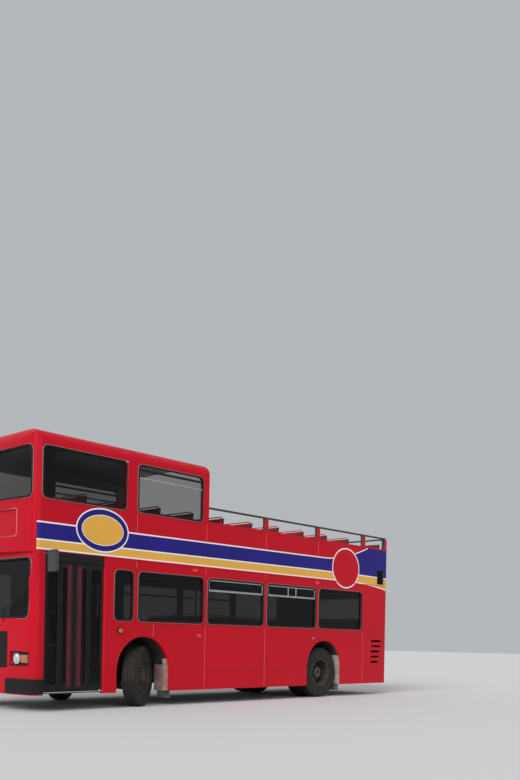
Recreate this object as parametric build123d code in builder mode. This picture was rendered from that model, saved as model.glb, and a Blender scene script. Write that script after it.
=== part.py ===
"""Open top double decker bus, rear engined, with a short roof over the front two bays.

Frame: +X forward, +Y to the bus's left (the kerb side, with the entrance), +Z up.
The origin is on the road, at the middle of the body's length and width. Sizes are millimetres.
"""

from build123d import *
import os
from math import cos, radians, sin

# Driving sizes
front_overhang = 2237  # front axle to the middle of the front
wheelbase = 4953
rear_overhang = 2370
body_width = 2500
overall_height = 4400

# Places along the bus
overall_length = front_overhang + wheelbase + rear_overhang
half_length = overall_length / 2
half_width = body_width / 2
rear_axle_x = -half_length + rear_overhang
front_axle_x = rear_axle_x + wheelbase
side_front_x = half_length - 260  # joint between side panels and front panels
side_rear_x = -half_length + 932  # joint between side panels and rear corner panels
upper_rear_x = -half_length + 180

# Body shell
skirt_height = 260  # road to the lower edge of the panels
wall = 60  # side wall with its lining
front_bow = 70  # how far the middle of the front stands ahead of its corners
rear_bow = 40
front_corner_radius = 120
rear_corner_radius = 100
deck_joint = overall_height / 2 + 290  # lower edge of the upper deck's panels
roof_joint = overall_height - 240  # lower edge of the roof moulding
roof_edge_radius = 190
roof_crown = 60  # rise of the roof from its edge to its middle
roof_thickness = 50
roof_rear_radius = 140

# Windows
lower_window_top = deck_joint - 205
lower_sill = lower_window_top - 817
upper_sill = overall_height - 1088
upper_window_top = overall_height - 300
window_corner_radius = 75
glass_thickness = 8
open_sill = overall_height - 1070  # lower edge of the openings on the open deck
post_top = overall_height - 835
rail_width = 44
rail_height = 30
bay_count = 4
pillar_width = 118
open_post_width = 100
first_pillar_x = front_axle_x + 182
last_pillar_x = side_rear_x + 61
pillar_pitch = (first_pillar_x - last_pillar_x) / bay_count
pillars = [first_pillar_x - pillar_pitch * n for n in range(bay_count + 1)]
open_posts = pillars[2:]
roof_rear_x = pillars[1] - 47  # where the roof stops and the open deck starts

# Wheels and axles
tyre_radius = 525
tyre_width = 255
rim_radius = 286
rim_lip = 16
hub_bore = 42
wheel_track = body_width - 420  # between the middles of the outer tyres
twin_spacing = 320
arch_radius = 572
arch_centre_z = 630
wheel_box_sheet = 14
wheel_box_inner_y = wheel_track / 2 - 495
wheel_box_radius = arch_radius + 28
wheel_box_top = arch_centre_z + wheel_box_radius
front_box_half = 660  # the steered wheels need more room below the round top
front_box_shoulder = 750
rear_box_half = 590
kingpin_y = wheel_track / 2 - 150
kingpin_radius = 24
steer_at_rest = 32  # the photographed wheels are turned to the left by this angle
steering_arm = 230
tie_rod_diameter = 34

# Entrance and its four leaves
door_front_x = side_front_x
door_rear_x = front_axle_x + arch_radius + 280
door_top = deck_joint - 135
door_bottom = 325
leaf_thickness = 30
leaf_stile = 42
leaf_rail = 100
leaf_pivot_inset = 15
leaf_jamb_gap = 27  # jamb to the outer pivot
leaf_joint_gap = 8
leaf_meeting_gap = 14
leaf_recess = 16  # body side to the face of the leaves
fold_pin_out = 8  # folding pin's axis ahead of the leaf's outer face

# Floors and frame
floor_height = 600
floor_thickness = 40
rear_floor_height = 780
rear_floor_x = rear_axle_x + 660
upper_floor_height = deck_joint - 40
upper_floor_thickness = 70
step_height = 300
second_step_height = 450
entrance_tread = 360
second_tread = 260
rail_y = wheel_box_inner_y - 115
rail_section_width = 75
rail_section_height = 140
rail_bottom = 400
frame_front_x = side_front_x - 20
tow_notch = 120  # half width of the notch that bares the towing eye
tow_notch_top = rail_bottom + 60
frame_rear_x = rear_axle_x - 940
bay_wall_x = rear_axle_x - 1030  # front wall of the engine bay
bay_roof_height = 1080
engine_length = 950
engine_width = body_width - 900
engine_height = 600
engine_front_x = bay_wall_x - 140
cradle_height = 45

# Rear engine cover
cover_half_width = half_width - 300
cover_bottom = 350
cover_top = lower_sill - 108
cover_gap = 7
rear_window_half = half_width - 470
rear_window_bottom = lower_sill + 52
rear_window_top = deck_joint - 260

os.makedirs("parts", exist_ok=True)


def keep_box(x0, x1, y0, y1, z0, z1, mode=Mode.INTERSECT):
    """Keeps, adds or cuts the box between two corners."""
    with Locations((x0, y0, z0)):
        Box(x1 - x0, y1 - y0, z1 - z0, align=(Align.MIN, Align.MIN, Align.MIN), mode=mode)


def write(builder, name):
    """Labels a finished sub-part and writes its file."""
    builder.part.label = name
    export_step(builder.part, f"parts/{name}.step")


def plan_outline(inset):
    """The body seen from above: straight sides, bowed ends and round corners."""
    front_edge = half_length - front_bow
    rear_edge = -half_length + rear_bow
    with BuildSketch() as plan:
        with BuildLine():
            Line((rear_edge, half_width), (front_edge, half_width))
            ThreePointArc((front_edge, half_width), (half_length, 0), (front_edge, -half_width))
            Line((front_edge, -half_width), (rear_edge, -half_width))
            ThreePointArc((rear_edge, -half_width), (-half_length, 0), (rear_edge, half_width))
        make_face()
        corners = plan.vertices().group_by(Axis.X)
        fillet(corners[-1], front_corner_radius)
        fillet(plan.vertices().group_by(Axis.X)[0], rear_corner_radius)
        if inset:
            offset(amount=-inset, kind=Kind.INTERSECTION)
    return plan.sketch


# Side outline of the front: the windscreen leans back under the upper deck's lip
screen_bottom = lower_sill - 11
screen_top = deck_joint - 120
screen_rake = 95  # how far the windscreen's head stands behind the upper front
front_head_rake = 35  # lean of the upper front windows
front_brow_radius = 210


def side_outline(inset):
    """The body seen from the side, with the roof over the front bays only."""
    x = half_length - inset
    top = overall_height - (roof_thickness if inset else 0)
    lip = deck_joint - 40
    low = skirt_height - (200 if inset else 0)
    if inset:
        rear, behind_roof = -half_length + inset, top
    else:
        rear, behind_roof = -half_length, post_top
    roof_end = rear if inset else roof_rear_x
    with BuildSketch() as outline:
        with BuildLine():
            points = [
                (rear, low),
                (x, low),
                (x, screen_bottom - 60),
                (x - screen_rake, screen_top + 30),
                (x - screen_rake, lip),
                (x, deck_joint),
                (x, upper_sill),
                (x - front_head_rake, upper_window_top),
                (x - front_head_rake, top),
                (roof_end, top),
                (roof_end, behind_roof),
                (rear, behind_roof),
            ]
            kept = [p for n, p in enumerate(points) if p != points[n - 1]]
            Polyline(*kept, close=True)
        make_face()
        brow = outline.vertices().filter_by(lambda v: abs(v.X - x + front_head_rake) < 1 and abs(v.Y - top) < 1)
        fillet(brow, front_brow_radius - inset)
        if not inset:
            tail = outline.vertices().filter_by(lambda v: abs(v.X - roof_rear_x) < 1 and abs(v.Y - top) < 1)
            fillet(tail, roof_rear_radius)
    return outline.sketch


def cross_outline(inset):
    """The body seen from the end: upright sides, round roof edges and a crowned roof."""
    w = half_width - inset
    top = overall_height - (roof_thickness if inset else 0)
    edge = top - roof_crown
    low = skirt_height - (200 if inset else 0)
    with BuildSketch() as outline:
        with BuildLine():
            Line((-w, low), (w, low))
            Line((w, low), (w, edge))
            ThreePointArc((w, edge), (0, top), (-w, edge))
            Line((-w, edge), (-w, low))
        make_face()
        fillet(outline.vertices().group_by(Axis.Y)[-1], roof_edge_radius - inset)
    return outline.sketch


def hull(inset):
    """The solid inside the body's outer surface, or inside its lining."""
    low = skirt_height - (200 if inset else 0)
    with BuildPart() as solid:
        with BuildSketch(Plane.XY.offset(low)):
            add(plan_outline(inset))
        extrude(amount=overall_height - low)
        with BuildSketch(Plane.XZ):
            add(side_outline(inset))
        extrude(amount=body_width, both=True, mode=Mode.INTERSECT)
        with BuildSketch(Plane.YZ):
            add(cross_outline(inset))
        extrude(amount=overall_length, both=True, mode=Mode.INTERSECT)
    return solid.part


with BuildPart() as shell_builder:
    add(hull(0))
    add(hull(wall), mode=Mode.SUBTRACT)
shell = shell_builder.part

# Windows: front end x, rear end x, bottom z, top z
lower_bays = [
    (pillars[n] - pillar_width / 2, pillars[n + 1] + pillar_width / 2, lower_sill, lower_window_top)
    for n in range(bay_count)
]
door_light = (door_rear_x - 224, first_pillar_x + 63, lower_sill, lower_window_top)
cab_light = (side_front_x - 80, door_rear_x + 165, lower_sill, lower_window_top)
front_quarter_light = (side_front_x + 62, first_pillar_x + 242, upper_sill, upper_window_top)
roofed_bay = (first_pillar_x - 17, roof_rear_x + 162, upper_sill, upper_window_top)
left_lower_windows = [door_light] + lower_bays
right_lower_windows = [cab_light] + lower_bays[1:]
upper_windows = [front_quarter_light, roofed_bay]
open_edges = [roof_rear_x] + open_posts + [upper_rear_x - 40]


def window_faces(windows, grow=0):
    """Rounded window outlines, drawn in the plane of a side."""
    for x1, x0, z0, z1 in windows:
        with Locations(((x0 + x1) / 2, (z0 + z1) / 2)):
            RectangleRounded(x1 - x0 + 2 * grow, z1 - z0 + 2 * grow, window_corner_radius + grow)


def cut_side_windows(windows, side):
    """Cuts window openings through a side wall; side is 1 on the left and -1 on the right."""
    with BuildSketch(Plane.XZ.offset(-side * (half_width - wall / 2))) as holes:
        window_faces(windows)
    extrude(holes.sketch, amount=wall, both=True, mode=Mode.SUBTRACT)


def cut_arches(side):
    """Cuts both wheel arches through a side wall."""
    with BuildSketch(Plane.XZ.offset(-side * (half_width - wall / 2))) as arches:
        for axle_x in (front_axle_x, rear_axle_x):
            with Locations((axle_x, arch_centre_z)):
                Circle(arch_radius)
                Rectangle(2 * arch_radius, arch_centre_z, align=(Align.CENTER, Align.MAX))
    extrude(arches.sketch, amount=wall, both=True, mode=Mode.SUBTRACT)


def cut_open_deck(side):
    """Cuts the low openings between the posts of the open deck."""
    with BuildSketch(Plane.XZ.offset(-side * (half_width - wall / 2))) as holes:
        for front, rear in zip(open_edges[:-1], open_edges[1:]):
            x1 = front - (0 if front == roof_rear_x else open_post_width / 2)
            x0 = rear + (0 if rear == open_edges[-1] else open_post_width / 2)
            with Locations(((x0 + x1) / 2, open_sill)):
                Rectangle(x1 - x0, overall_height - open_sill, align=(Align.CENTER, Align.MIN))
    extrude(holes.sketch, amount=wall, both=True, mode=Mode.SUBTRACT)


# Air intakes in the last upper panels
intake_front = upper_rear_x + 285
intake_rear = upper_rear_x + 30
intake_bottom = deck_joint + 20
intake_top = deck_joint + 345
intake_slots = 5
intake_pitch = 60
intake_recess = 22

# Side panels, lower and upper, on both sides
side_lower = {}
side_upper = {}
for name, side, windows in (("left", 1, left_lower_windows), ("right", -1, right_lower_windows)):
    y0, y1 = sorted((side * half_width, side * (half_width - wall)))
    with BuildPart() as side_lower[name]:
        add(shell)
        keep_box(side_rear_x, side_front_x, y0, y1, 0, deck_joint)
        cut_arches(side)
        cut_side_windows(windows, side)
        if side > 0:
            keep_box(door_rear_x, door_front_x, 0, half_width, 0, door_top, mode=Mode.SUBTRACT)
            post_edge = side_lower[name].edges().filter_by(Axis.Z).filter_by_position(
                Axis.X, door_rear_x - 1, door_rear_x + 1
            )
            fillet(post_edge.sort_by(Axis.Y)[-1], wall * 0.6)
    write(side_lower[name], f"side_lower_{name}")
    with BuildPart() as side_upper[name]:
        add(shell)
        keep_box(upper_rear_x, side_front_x, y0, y1, deck_joint, roof_joint)
        cut_side_windows(upper_windows, side)
        cut_open_deck(side)
        keep_box(intake_rear, intake_front, y0, y1, intake_bottom, intake_top, mode=Mode.SUBTRACT)
    write(side_upper[name], f"side_upper_{name}")

# Front of the lower deck, with the windscreen, headlamp recesses and grille opening
screen_half = half_width - 130
screen_mullion = 46
screen_corner = 110
grille_half = half_width - 630
grille_bottom = 670
grille_top = 1240
lamp_panel_inner = grille_half + 60
lamp_panel_outer = half_width - 100
lamp_panel_bottom = 705
lamp_panel_top = 930
lamp_recess = 22
lamp_face_x = half_length - front_bow - lamp_recess
lamp_z = (lamp_panel_bottom + lamp_panel_top) / 2


def front_panes(half, mullion, bottom, top, radius):
    """Two panes side by side, drawn in the plane of the front."""
    width = half - mullion / 2
    for side in (1, -1):
        with Locations((side * (half + mullion / 2) / 2, (bottom + top) / 2)):
            RectangleRounded(width, top - bottom, radius)


with BuildPart() as front_lower:
    add(shell)
    keep_box(side_front_x, half_length, -half_width, half_width, 0, deck_joint)
    with BuildSketch(Plane.YZ.offset(side_front_x + wall + 20)):
        front_panes(screen_half, screen_mullion, screen_bottom, screen_top, screen_corner)
        with Locations((0, (grille_bottom + grille_top) / 2)):
            RectangleRounded(2 * grille_half, grille_top - grille_bottom, 40)
    extrude(amount=overall_length, mode=Mode.SUBTRACT)
    with BuildSketch(Plane.YZ.offset(lamp_face_x)):
        for side in (1, -1):
            with Locations((side * (lamp_panel_inner + lamp_panel_outer) / 2, lamp_z)):
                Rectangle(lamp_panel_outer - lamp_panel_inner, lamp_panel_top - lamp_panel_bottom)
    extrude(amount=overall_length, mode=Mode.SUBTRACT)
    keep_box(side_front_x + 60, overall_length, -tow_notch, tow_notch, 0, tow_notch_top, mode=Mode.SUBTRACT)
write(front_lower, "front_lower")

# Front of the upper deck, with two windows and the sign recess
upper_front_half = half_width - 100
upper_front_mullion = 60
sign_half = half_width - 450
sign_bottom = deck_joint + 230
sign_top = upper_sill - 162
sign_depth = 18
with BuildPart() as front_upper:
    add(shell)
    keep_box(side_front_x, half_length, -half_width, half_width, deck_joint, roof_joint)
    with BuildSketch(Plane.YZ.offset(side_front_x + wall + 20)):
        front_panes(upper_front_half, upper_front_mullion, upper_sill, upper_window_top, 90)
    extrude(amount=overall_length, mode=Mode.SUBTRACT)
    with BuildSketch(Plane.YZ.offset(half_length - front_bow / 2 - sign_depth)):
        with Locations((0, (sign_bottom + sign_top) / 2)):
            RectangleRounded(2 * sign_half, sign_top - sign_bottom, 50)
    extrude(amount=overall_length, mode=Mode.SUBTRACT)
    for side in (1, -1):
        cut_side_windows([front_quarter_light], side)
write(front_upper, "front_upper")

# Roof over the front bays
with BuildPart() as roof:
    add(shell)
    keep_box(roof_rear_x - 10, half_length, -half_width, half_width, roof_joint, overall_height)
write(roof, "roof")

# Rear of the lower deck: corner panels with louvres, window, lamp flats and the opening for the engine cover
corner_louvres = [(0, 400), (1, 380), (2, 355), (3, 325), (4, 290)]  # row from the top, slot length
corner_louvre_front = -half_length + 650
corner_louvre_top = 1215
corner_louvre_pitch = 118
corner_louvre_slot = 46
tail_lamp_z = [1420, 1285, 1150]
tail_lamp_y = cover_half_width + 110
tail_lamp_half = 52
tail_face_x = -half_length + rear_bow + 4
cover_box = (-half_length, -half_length + 110, -cover_half_width, cover_half_width, cover_bottom, cover_top)
with BuildPart() as rear_lower:
    add(shell)
    keep_box(-half_length, side_rear_x, -half_width, half_width, 0, deck_joint)
    keep_box(*cover_box, mode=Mode.SUBTRACT)
    with BuildSketch(Plane.YZ.offset(-half_length + 150)):
        with Locations((0, (rear_window_bottom + rear_window_top) / 2)):
            RectangleRounded(2 * rear_window_half, rear_window_top - rear_window_bottom, window_corner_radius)
    extrude(amount=-overall_length, mode=Mode.SUBTRACT)
    with BuildSketch(Plane.YZ.offset(tail_face_x)):
        for side in (1, -1):
            with Locations((side * tail_lamp_y, tail_lamp_z[1])):
                Rectangle(2 * tail_lamp_half + 16, tail_lamp_z[0] - tail_lamp_z[2] + 2 * tail_lamp_half + 16)
    extrude(amount=-overall_length, mode=Mode.SUBTRACT)
    with BuildSketch(Plane.XZ.offset(-overall_length / 2)) as slots:
        for row, length in corner_louvres:
            with Locations((corner_louvre_front, corner_louvre_top - corner_louvre_pitch * row)):
                Rectangle(length, corner_louvre_slot, align=(Align.MAX, Align.CENTER))
    extrude(slots.sketch, amount=overall_length, mode=Mode.SUBTRACT)
write(rear_lower, "rear_lower")

# Rear of the upper deck, with low openings beside the corner posts
with BuildPart() as rear_upper:
    add(shell)
    keep_box(-half_length, upper_rear_x, -half_width, half_width, deck_joint, post_top)
    with BuildSketch(Plane.YZ.offset(-half_length + 100)):
        for side in (1, -1):
            with Locations((side * (half_width - rear_corner_radius) / 2, open_sill)):
                opening_width = half_width - rear_corner_radius - open_post_width
                Rectangle(opening_width, overall_height, align=(Align.CENTER, Align.MIN))
    extrude(amount=-overall_length, mode=Mode.SUBTRACT)
write(rear_upper, "rear_upper")

# Air intakes of the engine: slatted frames in both sides of the upper deck's last panels
with BuildPart() as air_intakes:
    for side in (1, -1):
        with BuildSketch(Plane.XZ.offset(-side * (half_width - wall))) as frame:
            with Locations(((intake_front + intake_rear) / 2, (intake_bottom + intake_top) / 2)):
                Rectangle(intake_front - intake_rear, intake_top - intake_bottom)
                with GridLocations(0, intake_pitch, 1, intake_slots):
                    Rectangle(intake_front - intake_rear - 50, intake_pitch * 0.55, mode=Mode.SUBTRACT)
        extrude(frame.sketch, amount=-side * (wall - intake_recess))
write(air_intakes, "air_intakes")

# Engine cover, with louvres, hung from a hinge along its top edge
louvre_count = 7
louvre_pitch = 105
louvre_half = cover_half_width - 250
louvre_slot = 30
with BuildPart() as engine_cover:
    add(shell)
    keep_box(
        -half_length,
        -half_length + 110,
        -cover_half_width + cover_gap,
        cover_half_width - cover_gap,
        cover_bottom + cover_gap,
        cover_top - cover_gap,
    )
    with BuildSketch(Plane.YZ.offset(-half_length + 150)):
        with Locations((0, (cover_bottom + cover_top) / 2)):
            with GridLocations(louvre_half + 60, louvre_pitch, 2, louvre_count):
                Rectangle(louvre_half, louvre_slot)
    extrude(amount=-overall_length, mode=Mode.SUBTRACT)
write(engine_cover, "engine_cover")


# Glass, in the middle of the wall it closes
def side_glass(windows, side):
    """Panes that fill the openings of one side."""
    with BuildSketch(Plane.XZ.offset(-side * (half_width - wall / 2))) as panes:
        window_faces(windows)
    extrude(panes.sketch, amount=glass_thickness / 2, both=True)


with BuildPart() as front_glass_sheet:
    add(hull((wall - glass_thickness) / 2))
    add(hull((wall + glass_thickness) / 2), mode=Mode.SUBTRACT)

with BuildPart() as glass_lower_deck:
    add(front_glass_sheet.part)
    with BuildSketch(Plane.YZ.offset(side_front_x + wall + 20)):
        front_panes(screen_half, screen_mullion, screen_bottom, screen_top, screen_corner)
    extrude(amount=overall_length, mode=Mode.INTERSECT)
    side_glass(left_lower_windows, 1)
    side_glass(right_lower_windows, -1)
    with BuildSketch(Plane.YZ.offset(-half_length + wall / 2 + rear_bow / 2)):
        with Locations((0, (rear_window_bottom + rear_window_top) / 2)):
            RectangleRounded(2 * rear_window_half, rear_window_top - rear_window_bottom, window_corner_radius)
    extrude(amount=glass_thickness / 2, both=True)
write(glass_lower_deck, "glass_lower_deck")

with BuildPart() as glass_upper_deck:
    add(front_glass_sheet.part)
    with BuildSketch(Plane.YZ.offset(side_front_x + wall + 20)):
        front_panes(upper_front_half, upper_front_mullion, upper_sill, upper_window_top, 90)
    extrude(amount=overall_length, mode=Mode.INTERSECT)
    side_glass(upper_windows, 1)
    side_glass(upper_windows, -1)
write(glass_upper_deck, "glass_upper_deck")

# Rail along the open deck, round the back
with BuildPart() as top_rail:
    rail_y_line = half_width - wall / 2
    rail_back_x = -half_length + wall / 2 + rear_bow / 2
    rail_z = post_top + rail_height / 2
    corner = rear_corner_radius
    with BuildLine() as rail_path:
        Polyline(
            (roof_rear_x, rail_y_line, rail_z),
            (rail_back_x + corner, rail_y_line, rail_z),
            (rail_back_x, rail_y_line - corner, rail_z),
            (rail_back_x, -rail_y_line + corner, rail_z),
            (rail_back_x + corner, -rail_y_line, rail_z),
            (roof_rear_x, -rail_y_line, rail_z),
        )
    with BuildSketch(Plane(origin=rail_path.line @ 0, x_dir=(0, 1, 0), z_dir=rail_path.line % 0)):
        Rectangle(rail_width, rail_height)
    sweep(transition=Transition.RIGHT)
write(top_rail, "top_rail")

# Chassis rails, which rise over the rear axle and end in the engine cradle
tow_eye_radius = 22
tow_plate = 30
tow_x = half_length - 75
kick_half = 110  # where the rails rise over the rear axle
kick_thickness = 80
kick_top = 730
member_places = [
    frame_front_x - 40,
    front_axle_x + 807,
    front_axle_x - 893,
    front_axle_x - 1943,
    rear_axle_x + 1810,
    rear_axle_x + 910,
    frame_rear_x + 40,
]
with BuildPart() as chassis_rails:
    for side in (1, -1):
        y = side * rail_y
        keep_box(
            frame_rear_x,
            frame_front_x,
            y - rail_section_width / 2,
            y + rail_section_width / 2,
            rail_bottom,
            rail_bottom + rail_section_height,
            mode=Mode.ADD,
        )
        keep_box(
            engine_front_x - engine_length,
            frame_rear_x + 60,
            y - rail_section_width / 2,
            y + rail_section_width / 2,
            rail_bottom - cradle_height,
            rail_bottom,
            mode=Mode.ADD,
        )
        keep_box(rear_axle_x - kick_half, rear_axle_x + kick_half, y - 50, y + 50, 0, floor_height, mode=Mode.SUBTRACT)
        for x0, x1, z0 in (
            (-kick_half - kick_thickness, -kick_half, rail_bottom),
            (kick_half, kick_half + kick_thickness, rail_bottom),
            (-kick_half, kick_half, kick_top - kick_thickness),
        ):
            keep_box(
                rear_axle_x + x0,
                rear_axle_x + x1,
                y - rail_section_width / 2,
                y + rail_section_width / 2,
                z0,
                kick_top,
                mode=Mode.ADD,
            )
write(chassis_rails, "chassis_rails")

# Cross members between the rails, the first with the towing plate and its eye
member_y = rail_y - rail_section_width / 2
member_top = rail_bottom + rail_section_height - 20
with BuildPart() as cross_members:
    for x in member_places:
        keep_box(x - 40, x + 40, -member_y, member_y, rail_bottom + 40, member_top, mode=Mode.ADD)
    keep_box(frame_front_x, frame_front_x + tow_plate, -90, 90, rail_bottom, member_top, mode=Mode.ADD)
    keep_box(frame_front_x, tow_x + 60, -90, 90, rail_bottom, rail_bottom + tow_plate, mode=Mode.ADD)
    with Locations((tow_x, 0, rail_bottom + tow_plate)):
        Hole(tow_eye_radius, depth=tow_plate)
write(cross_members, "cross_members")

# Lower floor, cut out for the wheel boxes and the entrance
box_cut_y = half_width - wall
floor_front_x = side_front_x + 60
with BuildPart() as floor_lower:
    for x0, x1, z0, z1 in (
        (rear_floor_x, floor_front_x, floor_height - floor_thickness, floor_height),
        (rear_floor_x - floor_thickness / 2, rear_floor_x, floor_height - floor_thickness, rear_floor_height),
        (bay_wall_x, rear_floor_x, rear_floor_height - floor_thickness, rear_floor_height),
    ):
        keep_box(x0, x1, -box_cut_y, box_cut_y, z0, z1, mode=Mode.ADD)
    for axle_x, half in ((front_axle_x, front_box_half), (rear_axle_x, rear_box_half)):
        for side in (1, -1):
            ya, yb = sorted((side * wheel_box_inner_y, side * (box_cut_y + 1)))
            keep_box(axle_x - half, axle_x + half, ya, yb, 0, overall_height, mode=Mode.SUBTRACT)
    step_back_y = box_cut_y - entrance_tread - second_tread
    keep_box(door_rear_x, door_front_x, step_back_y, box_cut_y, 0, floor_height, mode=Mode.SUBTRACT)
write(floor_lower, "floor_lower")

# Entrance steps: two treads and two risers
sheet = floor_thickness / 2
first_riser_y = box_cut_y - entrance_tread
with BuildPart() as entrance_steps:
    for y0, y1, z0, z1 in (
        (first_riser_y, half_width - 5, step_height - sheet, step_height),
        (first_riser_y - sheet, first_riser_y, step_height - sheet, second_step_height),
        (step_back_y, first_riser_y, second_step_height - sheet, second_step_height),
        (step_back_y, step_back_y + sheet, second_step_height, floor_height),
    ):
        keep_box(door_rear_x, door_front_x, y0, y1, z0, z1, mode=Mode.ADD)
write(entrance_steps, "entrance_steps")

# Engine bay: its front wall below the floor, and its lid under the rear bench
with BuildPart() as engine_bay:
    wall_top = bay_roof_height - floor_thickness
    keep_box(bay_wall_x - floor_thickness, bay_wall_x, -box_cut_y, box_cut_y, 420, wall_top, mode=Mode.ADD)
    lid_rear_x = -half_length + rear_bow + wall + 45
    keep_box(lid_rear_x, bay_wall_x, -box_cut_y, box_cut_y, wall_top, bay_roof_height, mode=Mode.ADD)
write(engine_bay, "engine_bay")

# Wheel boxes: round-topped housings, open below and towards the wheel
with BuildPart() as wheel_boxes:
    for axle_x, half, base, shoulder in (
        (front_axle_x, front_box_half, floor_height - floor_thickness, front_box_shoulder),
        (rear_axle_x, rear_box_half, rear_floor_height - floor_thickness, rear_floor_height),
    ):
        for side in (1, -1):
            outer_plane = Plane.XZ.offset(-side * box_cut_y)
            depth = box_cut_y - wheel_box_inner_y
            for shrink, step, mode in ((0, depth, Mode.ADD), (wheel_box_sheet, depth - wheel_box_sheet, Mode.SUBTRACT)):
                with BuildSketch(outer_plane):
                    with Locations((axle_x, arch_centre_z)):
                        Circle(wheel_box_radius - shrink)
                    with Locations((axle_x, base)):
                        above = overall_height - base
                        Rectangle(2 * overall_height, above, align=(Align.CENTER, Align.MIN), mode=Mode.INTERSECT)
                        Rectangle(2 * (half - shrink), shoulder - base - shrink, align=(Align.CENTER, Align.MIN))
                extrude(amount=side * step, mode=mode)
write(wheel_boxes, "wheel_boxes")

# Staircase on the right, rising to the rear over the wheel box from behind the driver
partition_thickness = 25
partition_x = front_axle_x + front_box_half + 252
stair_front_x = partition_x
stair_width = half_width - 630
stair_target_rise = 231
stair_steps = round((upper_floor_height - floor_height) / stair_target_rise) - 1
stair_going = 230
stair_rise = (upper_floor_height - floor_height) / (stair_steps + 1)
stair_outer_y = -box_cut_y + 20
stair_soffit = stair_rise + 60
stair_box_gap = 8
stair_rear_x = stair_front_x - stair_going * stair_steps
with BuildPart() as staircase:
    with BuildSketch(Plane.XZ.offset(-stair_outer_y)):
        with BuildLine():
            corners = []
            for n in range(stair_steps):
                x = stair_front_x - stair_going * n
                corners += [(x, floor_height + stair_rise * n), (x, floor_height + stair_rise * (n + 1))]
            top_step = floor_height + stair_rise * stair_steps
            foot_x = stair_front_x - 1.9 * stair_going
            corners.append((stair_rear_x, top_step))
            corners.append((stair_rear_x, top_step - stair_soffit))
            corners.append((foot_x, floor_height + stair_rise * 0.9))
            corners.append((foot_x, floor_height))
            Polyline(*corners, close=True)
        make_face()
        with Locations((front_axle_x, arch_centre_z)):
            Circle(wheel_box_radius + stair_box_gap, mode=Mode.SUBTRACT)
        with Locations((front_axle_x, 0)):
            shoulder_width = 2 * (front_box_half + stair_box_gap)
            Rectangle(shoulder_width, front_box_shoulder + stair_box_gap, align=(Align.CENTER, Align.MIN), mode=Mode.SUBTRACT)
    extrude(amount=-stair_width)
write(staircase, "staircase")

# Upper floor, with the stairwell cut through it
well_front_x = stair_front_x - 60
well_rear_x = stair_rear_x
well_inner_y = -box_cut_y + stair_width + 60
with BuildPart() as floor_upper:
    with BuildSketch(Plane.XY.offset(upper_floor_height - upper_floor_thickness)):
        add(plan_outline(wall))
    extrude(amount=upper_floor_thickness)
    floor_end_x = half_length - wall - screen_rake - 4
    keep_box(-overall_length, floor_end_x, -half_width, half_width, 0, overall_height)
    keep_box(well_rear_x, well_front_x, -half_width, well_inner_y, 0, overall_height, mode=Mode.SUBTRACT)
write(floor_upper, "floor_upper")

# Seats: cushion, back and legs in one side outline, two places wide
seat_width = half_width - 390
seat_depth = 420
seat_height = 440
back_height = 560
back_thickness = 70
cushion_thickness = 90
leg_thickness = 30


def seat(x, y, z, width=seat_width):
    """One double seat that faces forward; x is the rear of its back, y its middle, z the floor."""
    plane = Plane(origin=(x, y, z), x_dir=(1, 0, 0), z_dir=(0, -1, 0))
    with BuildSketch(plane) as side_view:
        with BuildLine():
            Polyline(
                (0, seat_height + back_height),
                (back_thickness * 0.7, seat_height + back_height),
                (back_thickness + 60, seat_height),
                (seat_depth + back_thickness, seat_height + 15),
                (seat_depth + back_thickness, seat_height - cushion_thickness),
                (60, seat_height - cushion_thickness),
                close=True,
            )
        make_face()
    extrude(side_view.sketch, amount=width / 2, both=True)
    with BuildSketch(plane) as leg:
        with Locations((seat_depth * 0.55, 0)):
            Rectangle(seat_depth * 0.55, seat_height - cushion_thickness, align=(Align.CENTER, Align.MIN))
    extrude(leg.sketch, amount=leg_thickness / 2, both=True)


seat_y = half_width - wall - 12 - seat_width / 2
upper_row_pitch = 782
first_upper_row = side_front_x - 820
upper_row_count = 1 + int((first_upper_row - upper_rear_x - 1000) / upper_row_pitch)
bench_x = -half_length + 220
with BuildPart() as seats_upper:
    for n in range(upper_row_count):
        row_x = first_upper_row - upper_row_pitch * n
        seat(row_x, seat_y, upper_floor_height)
        if row_x > well_front_x or row_x + seat_depth + back_thickness < well_rear_x - 60:
            seat(row_x, -seat_y, upper_floor_height)
    seat(bench_x, 0, upper_floor_height, width=2 * (half_width - wall - 30))
write(seats_upper, "seats_upper")

lower_row_pitch = 767
first_lower_row = front_axle_x - front_box_half - 733
lower_row_count = 1 + int((first_lower_row - rear_floor_x - 550) / lower_row_pitch)
with BuildPart() as seats_lower:
    for n in range(lower_row_count):
        row_x = first_lower_row - lower_row_pitch * n
        seat(row_x, seat_y, floor_height)
        if n > 0:
            seat(row_x, -seat_y, floor_height)
    with BuildSketch(Plane.XZ.offset(-(half_width - wall - 20))):
        with Locations((bench_x + 80, bay_roof_height)):
            Rectangle(back_thickness, back_height, align=(Align.MIN, Align.MIN))
            Rectangle(seat_depth + back_thickness, cushion_thickness, align=(Align.MIN, Align.MIN))
    extrude(amount=2 * (half_width - wall - 20))
write(seats_lower, "seats_lower")

# Driver's place on the right: seat, dash, wheel and the partition behind
cab_y = -half_width + 610
with BuildPart() as driver_seat:
    seat(partition_x + partition_thickness + 20, cab_y, floor_height, width=480)
write(driver_seat, "driver_seat")

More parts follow.
